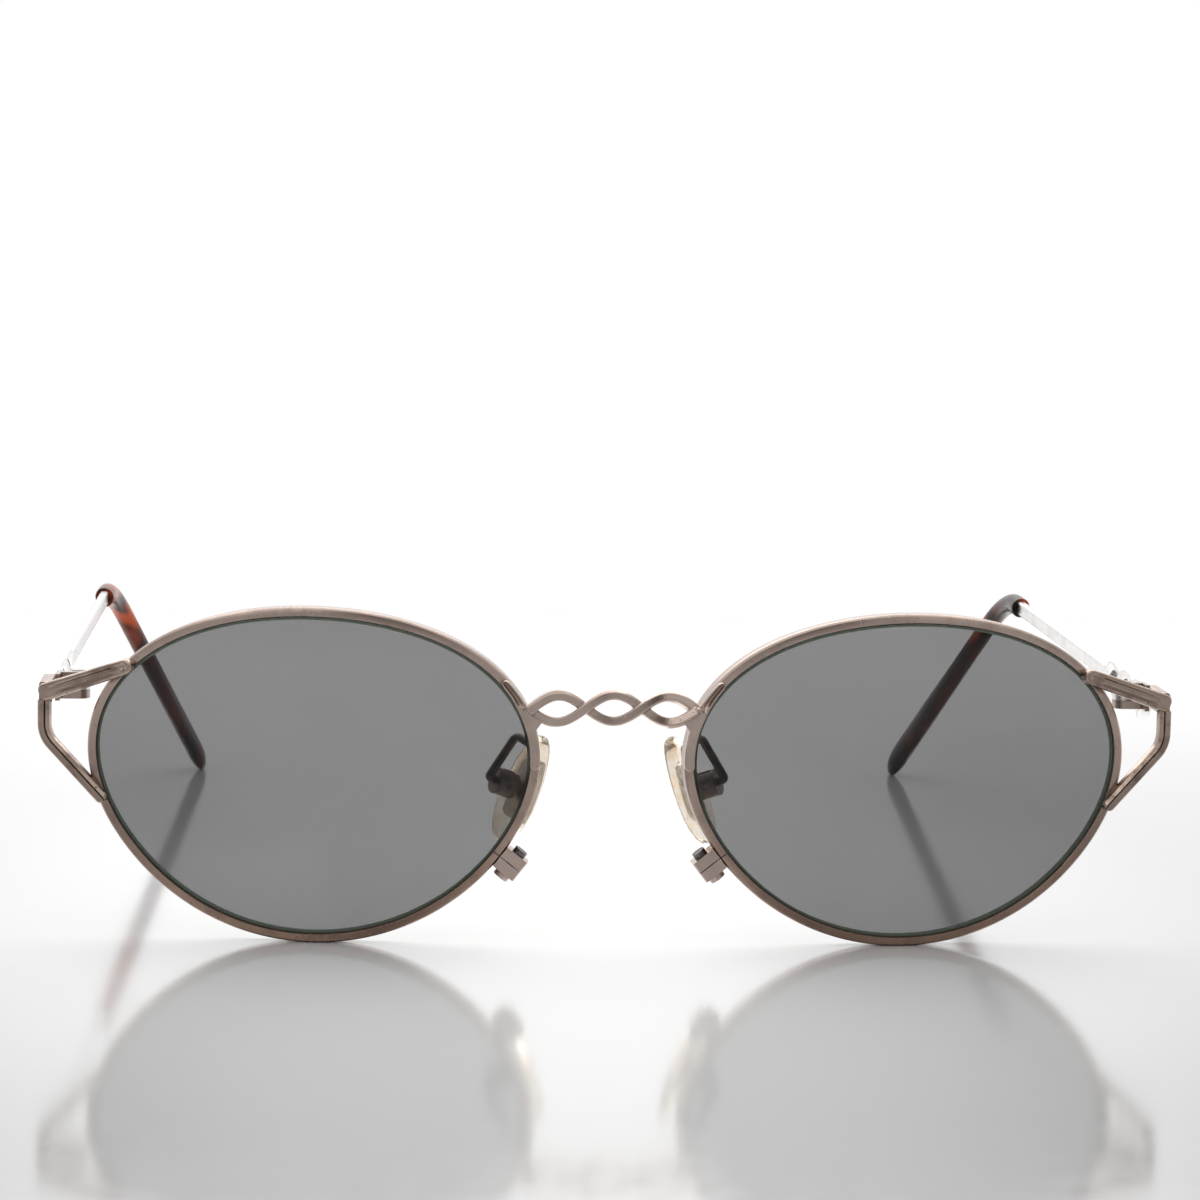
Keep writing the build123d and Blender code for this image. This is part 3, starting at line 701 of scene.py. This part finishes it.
def foot_rings():
    """Rings of one foot: a strip along the rim's front, round at its ends, hollow in its upper leg."""
    seat_radius = rim_front_radius + solder_film
    upper_end = on_rim(foot_upper, foot_middle, seat_radius)
    foot_turn = foot_lower - foot_upper
    foot_length = (on_rim(foot_lower, foot_middle, seat_radius) - upper_end).length
    end_turn = foot_width / 2 * foot_turn / foot_length
    end_angles = arc_turns(9, 9)
    stations = [(foot_upper - end_turn * cos(a), sin(a)) for a in end_angles]
    stations += [(foot_upper + foot_turn * n / foot_steps, 1) for n in range(foot_steps + 1)]
    stations += [(foot_lower + end_turn * cos(a), sin(a)) for a in reversed(end_angles)]
    rings = []
    for turn, share in stations:
        upper_leg = min(max((bridge_angle - turn) / (bridge_angle - foot_upper), 0), 1)
        half = foot_width / 2 * share * (1 - upper_leg_narrowing * upper_leg)
        hollow = foot_hollow * share * min(upper_leg_hollow_growth * upper_leg, 1)
        ring = [(foot_middle - half, 0), (foot_middle + half, 0)]
        for k in range(foot_steps + 1):
            across = cos(pi * k / foot_steps)
            round_part = sqrt(max(1 - across**foot_flatness, 0))
            crown = foot_edge_share + (1 - foot_edge_share) * round_part
            dip = max(0, 1 - (across / hollow_half_share) ** 2)
            ring.append((foot_middle + half * across, foot_thickness * crown - hollow * dip))
        rings.append([on_rim(turn, outward, seat_radius + rise) for outward, rise in ring])
    return rings


bridge_seat = on_rim(bridge_angle, foot_middle, rim_front_radius)
half_bridge = bridge_seat.x - bridge_stub


def in_bridge(x, backward, up):
    """Point of the bridge, from its right end."""
    return Vector((x - half_bridge, front_y + bridge_depth + backward, bridge_seat.z + up))


strands = twist_strands(
    2 * half_bridge / twist_loops,
    bridge_twist_height,
    bridge_strand_width,
    bridge_strand_depth,
    bridge_bevel,
    bridge_weave,
    bridge_arch,
    in_bridge,
)
stub_corner = stub_corner_share * bridge_strand_width
stub_section = soft_rectangle(bridge_strand_depth, bridge_strand_width, stub_corner)
stub_path = [in_bridge(2 * half_bridge, 0, 0), in_bridge(2 * half_bridge + bridge_stub, 0, 0)]
stub = sweep(stub_path, [stub_section] * 2, (0, 1, 0))
feet = foot_rings()
leg_edge = on_rim(web_angle, foot_lip, rim_front_radius)
leg_middle = on_rim(web_angle, foot_middle, rim_front_radius)
web_front = front_y + bridge_depth - bridge_strand_depth / 2 + web_setback
web_outline = [
    (bridge_seat.x, bridge_seat.z),
    (half_bridge - web_reach, bridge_seat.z - web_drop),
    (leg_edge.x, leg_edge.z),
    (leg_middle.x, leg_middle.z),
]
web = [[Vector((x, y, z)) for x, z in web_outline] for y in (web_front, web_front + web_thickness)]
islands = strands + [feet, stub, web] + [to_side(rings, -1) for rings in (feet, stub, web)]
bridge_pewter = plating(
    "polished pewter plate",
    plate=(0.47, 0.38, 0.33, 1),
    patina=pewter_patina,
    rubbed_through=(0.85, 0.76, 0.7, 1),
    tarnish=0.15,
    polish=0.21,
)
bridge = cast("twisted_bridge", islands, casting_grain)
fit_piece(bridge, "bridge", "front", bridge_pewter)


# End bars
# Each end piece is a cast bar lapped on the rim's front, sloping down and out, and turned back at its
# outer end as the arm of the hinge. Its front has a shallow hollow, a fine line and a dent at the rim.
bar_angle = radians(36.0)
endpiece_reach = 0.01034
endpiece_drop = 0.00336
endpiece_sweep = radians(15.0)
bar_width = 0.0019
half_bar = bar_width / 2
bar_inner_share = 0.94
bar_widening = 0.15
bar_depth = 0.0016
bar_ring_steps = 48
bar_steps = 60
bar_corner_round = 0.00055
bar_edge_round = 0.0004
bar_hollow = 0.00015
bar_hollow_half_width = 0.42 * bar_width
hollow_fade_start = 0.4 * bar_width
line_from_middle = 0.00036
line_half_width = 0.0001
line_depth = 0.0001
spoon_from_seat = 0.05 * bar_width
spoon_from_middle = 0.4 * line_from_middle
spoon_half_length = 0.0005
spoon_half_width = 0.3 * bar_width
spoon_depth = 0.0002
hinge_depth = 0.014
hinge_butt = 0.0001
arm_setback = 0.00025
arm_thickness = 0.0015
arm_height = 0.0024
arm_edge_round = 0.0003

stained_pewter = plating(
    "stained pewter plate",
    plate=(0.42, 0.325, 0.27, 1),
    patina=(0.055, 0.035, 0.027, 1),
    rubbed_through=(0.85, 0.75, 0.67, 1),
    tarnish=0.6,
    polish=0.22,
)

endpiece_origin = on_rim(bar_angle, -rim_band / 2, rim_front_radius)
endpiece_along = Vector((cos(endpiece_sweep), sin(endpiece_sweep), 0))
endpiece_ahead = Vector((sin(endpiece_sweep), -cos(endpiece_sweep), 0))
bar_front = solder_film + bar_depth
outer_reach = endpiece_reach * cos(endpiece_sweep) + bar_front * sin(endpiece_sweep)
outer_x = endpiece_origin.x + outer_reach
arm_x = outer_x - arm_setback - arm_thickness / 2
arm_along = (arm_x - endpiece_origin.x) / cos(endpiece_sweep)
hinge_height = endpiece_origin.z - endpiece_drop
bar_slope = atan2(endpiece_drop, arm_along)
bar_length = (endpiece_reach - sin(bar_slope) * half_bar) / cos(bar_slope)
corner_start = bar_length - bar_corner_round


def in_endpiece(along, up, ahead_way):
    """Point of the end piece from its seat on the rim."""
    lifted = endpiece_origin + along * endpiece_along + Vector((0, 0, up))
    return lifted + ahead_way * endpiece_ahead


def bump_shape(distance, half_width):
    """1 in the middle of a bump, falling smoothly to 0 at its half width."""
    share = max(0, 1 - (distance / half_width) ** 2)
    return share**2


def bar_ring(along):
    """Ring of the bar's outline at a distance along it from its seat."""
    half = half_bar * (bar_inner_share + bar_widening * max(along, 0) / bar_length)
    if along < 0:
        half *= sqrt(max(1 - (along / half_bar) ** 2, 0))
    elif along > corner_start:
        half += sqrt(max(bar_corner_round**2 - (along - corner_start) ** 2, 0)) - bar_corner_round
    chamfer = bar_edge_round / 2
    ring = [(-half, solder_film + chamfer), (-half + chamfer, solder_film)]
    ring += [(half - chamfer, solder_film), (half, solder_film + chamfer)]
    inside = min(half_bar + along, bar_length - along)
    fade = min(max((inside - hollow_fade_start) / bar_width, 0), 1)
    spoon = spoon_depth * bump_shape(along - spoon_from_seat, spoon_half_length)
    for n in range(bar_ring_steps + 1):
        across = half * cos(pi * n / bar_ring_steps)
        round_part = max(abs(across) - (half - bar_edge_round), 0) / bar_edge_round
        depth = bar_front - bar_edge_round * (1 - sqrt(max(1 - round_part**2, 0)))
        if half > bar_edge_round:
            depth -= fade * bar_hollow * bump_shape(across, bar_hollow_half_width)
            depth -= fade * line_depth * bump_shape(across - line_from_middle, line_half_width)
            depth -= spoon * bump_shape(across - spoon_from_middle, spoon_half_width)
        ring.append((across, depth))
    lowered = []
    for across, depth in ring:
        run = along * cos(bar_slope) + across * sin(bar_slope)
        rise = across * cos(bar_slope) - along * sin(bar_slope)
        lowered.append(in_endpiece(run, rise, depth))
    return lowered


bar_stations = [-half_bar * cos(turn) for turn in arc_turns(7.5, 11)]
bar_stations += [corner_start * k / bar_steps for k in range(bar_steps + 1)]
bar_stations += [corner_start + bar_corner_round * sin(turn) for turn in arc_turns(10, 8)]
bar_rings = [bar_ring(along) for along in bar_stations]
corner_y = in_endpiece(arm_along, 0, bar_front - bar_depth / 2).y
hinge_y = front_y + hinge_depth
arm_section = soft_rectangle(arm_thickness, arm_height, arm_edge_round)
arm_path = [
    Vector((arm_x, corner_y, hinge_height)),
    Vector((arm_x, hinge_y - hinge_butt / 2, hinge_height)),
]
arm_rings = sweep(arm_path, [arm_section] * 2, (1, 0, 0))
for side, sign in sides:
    islands = [to_side(rings, sign) for rings in (bar_rings, arm_rings)]
    bar = new_piece(f"{side}_sloping_bar", *skins(islands))
    fit_piece(bar, f"{side}_end_bar", "front", stained_pewter)


# End loops
# A drawn wire with two facets and a crease between them, bent down from the end bar and in to the
# rim, and soldered there with a round end. It closes the open triangle beside each lens.
loop_angle = radians(-12.0)
loop_width = 0.00135
loop_depth = 0.0015
loop_drop = 0.0049
loop_bend_radius = 0.0034
loop_setback = 0.0002
loop_edge_round = 0.0003
loop_top_share = 0.45
loop_spacing = 0.0004
crease_inward = 0.00012
crease_width = 0.0002
crease_depth = 0.0002
facet_slope = 0.00034


def bent(points, radius, spacing, turn_step=radians(6)):
    """Points at a spacing along a polyline whose corners are turned into arcs of that radius."""
    path = [points[0]]
    for n in range(1, len(points)):
        start = path[-1]
        stop = points[n]
        arc = []
        if n < len(points) - 1:
            middle, first, last, half_turn = corner_arc(*points[n - 1 : n + 2], radius)
            stop = middle + first
            count = max(2, round((pi - 2 * half_turn) / turn_step))
            arc = [middle + radius * first.slerp(last, k / count) for k in range(1, count + 1)]
        count = max(1, round((stop - start).length / spacing))
        path += [start.lerp(stop, k / count) for k in range(1, count + 1)]
        path += arc
    return path


def loop_section(share):
    """Section of the wire as (ahead, inward), its width scaled by a share for its round end."""
    half = loop_width / 2
    back = -loop_depth / 2
    front = loop_depth / 2
    crease_end = crease_inward + crease_width
    corners = [
        (back, -half, loop_edge_round),
        (front, -half, loop_edge_round),
        (front, crease_inward, 0),
        (front - crease_depth, crease_inward + crease_width / 2, 0),
        (front - crease_depth / 3, crease_end, 0),
        (front - facet_slope, half, loop_edge_round / 3),
        (back, half, loop_edge_round),
    ]
    return [(ahead_way, inward * share) for ahead_way, inward in rounded(corners)]


rim_end = on_rim(loop_angle, -rim_band / 2, rim_front_radius) - endpiece_origin
rim_end_along = rim_end.dot(endpiece_along)
top_along = endpiece_reach - loop_width / 2
loop_middle = bar_front - loop_setback - loop_depth / 2
loop_corners = [
    in_endpiece(top_along, -endpiece_drop - loop_top_share * bar_width, loop_middle),
    in_endpiece(top_along, -endpiece_drop - loop_drop, loop_middle),
    in_endpiece(rim_end_along, rim_end.z, loop_middle),
]
loop_path = bent(loop_corners, loop_bend_radius, loop_spacing)
loop_way = (loop_path[-1] - loop_path[-2]).normalized()
loop_shares = [1] * len(loop_path)
for turn in arc_turns(9.5, 9):
    loop_path.append(loop_corners[-1] + loop_way * loop_width / 2 * sin(turn))
    loop_shares.append(cos(turn))
loop_rings = sweep(loop_path, [loop_section(share) for share in loop_shares], endpiece_ahead)
for side, sign in sides:
    loop = new_piece(f"{side}_bent_wire", *skin(to_side(loop_rings, sign)))
    fit_piece(loop, f"{side}_end_loop", "front", stained_pewter)


# Closing blocks and closing screws
# Two nickel silver halves soldered to the ends of each eyewire, plated with it, and pulled together
# by a slotted steel screw, so that the rim can be opened for its lens.
pewter = plating(
    "antique pewter plate",
    plate=(0.45, 0.36, 0.315, 1),
    patina=pewter_patina,
    rubbed_through=(0.78, 0.67, 0.6, 1),
    tarnish=0.16,
    polish=0.24,
)
screw_steel = plating(
    "screw steel",
    plate=(0.14, 0.13, 0.125, 1),
    patina=(0.04, 0.033, 0.03, 1),
    rubbed_through=(0.5, 0.48, 0.46, 1),
    tarnish=0.5,
    polish=0.22,
)


def dress(node, body, material):
    """Give a CAD piece its material and its body."""
    piece = bpy.data.objects[node]
    piece.data.materials.clear()
    piece.data.materials.append(material)
    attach(piece, body)


for side, _ in sides:
    for half in ("upper", "lower"):
        dress(f"{side}_closing_block_{half}", "front", pewter)
    dress(f"{side}_closing_screw", "front", screw_steel)


# Pad arms and pad boxes
# Each arm is a round wire hooked back from the rim, and its box is a turned cup, slotted for the
# lug of the pad. Both are in a darker copy of the plate, as painted shade, and a small screw crosses
# the box.
# A darker copy of the pewter plate, painted as shade.
shaded_pewter = plating(
    "pewter plate in painted shade",
    plate=(0.2, 0.16, 0.14, 1),
    patina=(0.03, 0.022, 0.02, 1),
    rubbed_through=(0.4, 0.34, 0.3, 1),
    tarnish=0.7,
    polish=0.3,
)
for side, _ in sides:
    dress(f"{side}_pad_arm", "front", shaded_pewter)
    dress(f"{side}_pad_box", "front", shaded_pewter)
    dress(f"{side}_pad_screw", "front", screw_steel)


# Nose pads and their cores
# Drop-shaped pads of clear plastic that has yellowed, thickest in the middle and rounded all round.
# Each is moulded round a steel plate whose lug rocks in the pad box.
pad_outward = 0.00115
pad_behind = 0.00741
pad_below = 0.00435
pad_lean = radians(22.0)
pad_splay = radians(22.0)
pad_length = 0.0134
pad_width = 0.0078
pad_thickness = 0.0019
pad_edge_round = 0.0008
pad_crown = 0.00012
pad_drop_share = 0.16
pad_arm_angle = radians(177.0)
pad_steps = 72
pad_row_step = 15
clear_tint = (0.99, 0.94, 0.85, 1)
yellowed_tint = (0.93, 0.64, 0.36, 1)
yellowing_span = (0.46, 0.7)

core_steel = plating(
    "pad core steel",
    plate=(0.55, 0.52, 0.49, 1),
    patina=(0.1, 0.08, 0.07, 1),
    rubbed_through=(0.75, 0.72, 0.7, 1),
    tarnish=0.3,
    polish=0.25,
)
pad_material, tree, shader = new_material("yellowed clear plastic")
streak = shader_node(
    tree, "ShaderNodeTexNoise", Vector=object_place(tree), Scale=420.0, Detail=3.0, Distortion=1.5
)
yellowed = ramp_between(tree, streak.outputs[0], *yellowing_span)
tree.links.new(
    colour_between(tree, yellowed, clear_tint, yellowed_tint), shader.inputs["Base Color"]
)
vary_roughness(tree, shader, yellowed, lowest=0.04, swing=0.1)
shader.inputs["Transmission Weight"].default_value = 0.9
shader.inputs["IOR"].default_value = 1.26

rim_back_radius = lens_middle_radius - rim_depth / 2
pad_arm_foot = on_rim(pad_arm_angle, -rim_band / 2, rim_back_radius - solder_film)
pad_origin = pad_arm_foot + Vector((pad_outward, pad_behind, -pad_below))
pad_up = Vector((-sin(pad_lean), 0, cos(pad_lean)))
pad_face_way = Vector(
    (-cos(pad_lean) * cos(pad_splay), sin(pad_splay), -sin(pad_lean) * cos(pad_splay))
)
pad_cross = pad_face_way.cross(pad_up)


def pad_edge_point(turn, inset):
    """Point of the drop-shaped outline moved inward from its edge."""
    taper = 1 - pad_drop_share * cos(turn)
    slope = pad_drop_share * sin(turn)
    up = pad_length / 2 * cos(turn)
    across = pad_width / 2 * sin(turn) * taper
    rise = -pad_length / 2 * sin(turn)
    run = pad_width / 2 * (cos(turn) * taper + sin(turn) * slope)
    length = hypot(rise, run)
    return up - inset * run / length, across + inset * rise / length


half_pad = pad_thickness / 2
face_rows = []
for turn in arc_turns(pad_row_step, 6):
    scale = sin(turn)
    face_rows.append((scale, pad_edge_round, half_pad - pad_crown * scale**2))
for turn in arc_turns(pad_row_step, 5):
    height = half_pad - pad_crown - pad_edge_round * (1 - cos(turn))
    face_rows.append((1, pad_edge_round * (1 - sin(turn)), height))
pad_rows = [(scale, inset, -height) for scale, inset, height in face_rows] + face_rows[::-1]
pad_turns = [2 * pi * n / pad_steps for n in range(pad_steps)]
pad_rings = []
for scale, inset, height in pad_rows:
    ring = []
    for turn in pad_turns:
        up, across = pad_edge_point(turn, inset)
        in_plane = pad_origin + pad_up * up * scale + pad_cross * across * scale
        ring.append(in_plane + pad_face_way * height)
    pad_rings.append(ring)
for side, sign in sides:
    pad = new_piece(f"{side}_clear_pad", *skin(to_side(pad_rings, sign)))
    fit_piece(pad, f"{side}_nose_pad", f"{side}_pad", pad_material)
    dress(f"{side}_pad_core", f"{side}_pad", core_steel)


# Hinges
# Three-knuckle hinges: a leaf soldered inside the end bar's arm and one inside the temple, milled
# from nickel silver, with a slotted steel screw down through them.
# The temples' plate is painted much lighter than the front's, as painted light where they catch strong
# light.
lit_temple_plate = plating(
    "worn plate painted lighter",
    plate=(0.78, 0.76, 0.75, 1),
    patina=(0.3, 0.27, 0.25, 1),
    rubbed_through=(0.9, 0.88, 0.86, 1),
    tarnish=0.25,
    polish=0.2,
)
for side, _ in sides:
    dress(f"{side}_front_hinge_leaf", "front", pewter)
    dress(f"{side}_temple_hinge_leaf", f"{side}_temple", lit_temple_plate)
    dress(f"{side}_hinge_screw", "front", screw_steel)


# Temple twists
# The front of each temple is one casting: a block behind the hinge, two strands that cross over
# into three loops like the bridge, and a collar in which the plain bar is soldered.
temple_drop = 0.0011
temple_rise = radians(1.58)
temple_toe_in = radians(1.3)
temple_block_length = 0.0032
twist_start = 0.0009
temple_pitch = 0.0069
temple_twist_height = 0.0048
temple_strand_width = 0.00115
temple_strand_depth = 0.00135
temple_bevel = 0.0002
temple_weave = 0.0003
collar_length = 0.002
collar_overlap = 0.0005
collar_height = 0.0023
collar_thickness = 0.0014
collar_round = 0.0003
temple_casting_grain = 0.00008

temple_front_y = hinge_y + hinge_butt / 2
level_share = cos(temple_rise)
temple_along = Vector(
    (-sin(temple_toe_in) * level_share, cos(temple_toe_in) * level_share, sin(temple_rise))
)
temple_inward = Vector((-cos(temple_toe_in), -sin(temple_toe_in), 0))
temple_up = temple_along.cross(temple_inward)
temple_origin = Vector((arm_x, temple_front_y, hinge_height - temple_drop))


def in_temple(along, inward, up):
    """Point of the temple from its front end."""
    return temple_origin + along * temple_along + inward * temple_inward + up * temple_up


temple_twist = twist_strands(
    temple_pitch,
    temple_twist_height,
    temple_strand_width,
    temple_strand_depth,
    temple_bevel,
    temple_weave,
    0,
    lambda x, inward, up: in_temple(twist_start + x, inward, up),
)
block_path = [
    Vector((arm_x, temple_front_y, hinge_height)),
    Vector((arm_x, temple_front_y + temple_block_length, hinge_height)),
]
block_rings = sweep(block_path, [arm_section] * 2, (1, 0, 0))
collar_start = twist_start + twist_loops * temple_pitch - collar_overlap
collar_path = [in_temple(collar_start, 0, 0), in_temple(collar_start + collar_length, 0, 0)]
collar_section = soft_rectangle(collar_thickness, collar_height, collar_round)
collar_rings = sweep(collar_path, [collar_section] * 2, temple_inward)
for side, sign in sides:
    islands = [to_side(rings, sign) for rings in temple_twist + [block_rings, collar_rings]]
    twist = cast(f"{side}_twist_casting", islands, temple_casting_grain)
    fit_piece(twist, f"{side}_temple_twist", f"{side}_temple", lit_temple_plate)


# Temple bars
# A plain drawn bar with rounded edges runs from the collar to the ear bend, where it is turned down
# to a round core inside the plastic tip.
for side, _ in sides:
    dress(f"{side}_temple_bar", f"{side}_temple", lit_temple_plate)


# Temple tips
# Plastic sleeves in dark tortoiseshell, pushed over the core of the bar and bent with it round the
# ear. Each widens into a flat rounded paddle, and its amber patches show most near the bend.
bend_distance = 0.0895
sleeve_before_bend = 0.01
tip_bend_radius = 0.014
tip_inward = 0.01097
tip_backward = 0.02509
neck_height = 0.0027
neck_thickness = 0.0025
neck_bevel = 0.00035
paddle_height = 0.0052
paddle_thickness = 0.00235
paddle_cap = 0.0034
paddle_start_share = 0.4
paddle_full_share = 0.86
tip_spacing = 0.0007
tip_turn_step = radians(3)
settling_rounds = 8
oval_steps = 40
amber = (0.5, 0.075, 0.012, 1)
dark_brown = (0.006, 0.003, 0.003, 1)
red_brown = (0.02, 0.005, 0.004, 1)
amber_span = (0.36, 0.62)
amber_height_span = (0.016, 0.028)
least_amber = 0.15
fleck_span = (0.35, 0.7)

tip_material, tree, shader = new_material("tortoiseshell plastic")
place = object_place(tree)
patches = shader_node(
    tree, "ShaderNodeTexNoise", Vector=place, Scale=140.0, Detail=2.5, Distortion=0.8
)
flecks = shader_node(tree, "ShaderNodeTexNoise", Vector=place, Scale=520.0, Detail=3.0)
_, _, height = shader_node(tree, "ShaderNodeSeparateXYZ", Vector=place).outputs
high = ramp_between(tree, height, *amber_height_span)
high = arithmetic(tree, "ADD", arithmetic(tree, "MULTIPLY", high, 1 - least_amber), least_amber)
patched = ramp_between(tree, patches.outputs[0], *amber_span)
amber_share = arithmetic(tree, "MULTIPLY", patched, high)
red_share = ramp_between(tree, flecks.outputs[0], *fleck_span)
browns = colour_between(tree, red_share, dark_brown, red_brown)
tree.links.new(colour_between(tree, amber_share, browns, amber), shader.inputs["Base Color"])
vary_roughness(tree, shader, red_share, lowest=0.16, swing=0.1)
shader.inputs["IOR"].default_value = 1.25
shader.inputs["Coat Weight"].default_value = 0.05
shader.inputs["Coat Roughness"].default_value = 0.05

bend_corner = in_temple(bend_distance, 0, 0)
tip_end = bend_corner + Vector((-tip_inward, tip_backward, 0))
# The end's height and its lean depend on each other, so the tip is let down on the table in rounds
for _ in range(settling_rounds):
    tip_way = (tip_end - bend_corner).normalized()
    tip_across = temple_along.cross(tip_way).normalized()
    tip_upright = tip_across.cross(tip_way)
    paddle_reach = hypot(paddle_height / 2 * tip_upright.z, paddle_thickness / 2 * tip_across.z)
    tip_end.z = table_gap + hypot(paddle_cap * tip_way.z, paddle_reach)
sleeve_start = in_temple(bend_distance - sleeve_before_bend, 0, 0)
tip_corners = [sleeve_start, bend_corner, tip_end]
tip_path = bent(tip_corners, tip_bend_radius, tip_spacing, tip_turn_step)
tip_lengths = [0]
for n in range(1, len(tip_path)):
    tip_lengths.append(tip_lengths[-1] + (tip_path[n] - tip_path[n - 1]).length)
tip_sections = []
oval_turns = [2 * pi * k / oval_steps for k in range(oval_steps)]
oval = [(cos(turn), sin(turn)) for turn in oval_turns]
growth = paddle_full_share - paddle_start_share
for length in tip_lengths:
    share = length / tip_lengths[-1]
    grown = min(max((share - paddle_start_share) / growth, 0), 1)
    grown = grown**2 * (3 - 2 * grown)
    high_half = (neck_height + grown * (paddle_height - neck_height)) / 2
    wide_half = (neck_thickness + grown * (paddle_thickness - neck_thickness)) / 2
    tip_sections.append([(a * wide_half, b * high_half) for a, b in oval])
neck_way = (tip_path[1] - tip_path[0]).normalized()
neck_path = []
neck_sections = []
for turn in [0] + arc_turns(22.5, 4):
    shrink = 1 - neck_bevel * (1 - sin(turn)) / (neck_thickness / 2)
    neck_path.append(tip_path[0] + neck_way * neck_bevel * (1 - cos(turn)))
    neck_sections.append([(a * shrink, b * shrink) for a, b in tip_sections[0]])
tip_path = neck_path + tip_path[1:]
tip_sections = neck_sections + tip_sections[1:]
end_section = tip_sections[-1]
for turn in arc_turns(8.6, 10):
    tip_path.append(tip_end + tip_way * paddle_cap * sin(turn))
    tip_sections.append([(a * cos(turn), b * cos(turn)) for a, b in end_section])
tip_rings = sweep(tip_path, tip_sections, tip_across)
for side, sign in sides:
    tip = new_piece(f"{side}_ear_tip", *skin(to_side(tip_rings, sign)))
    fit_piece(tip, f"{side}_temple_tip", f"{side}_temple", tip_material)
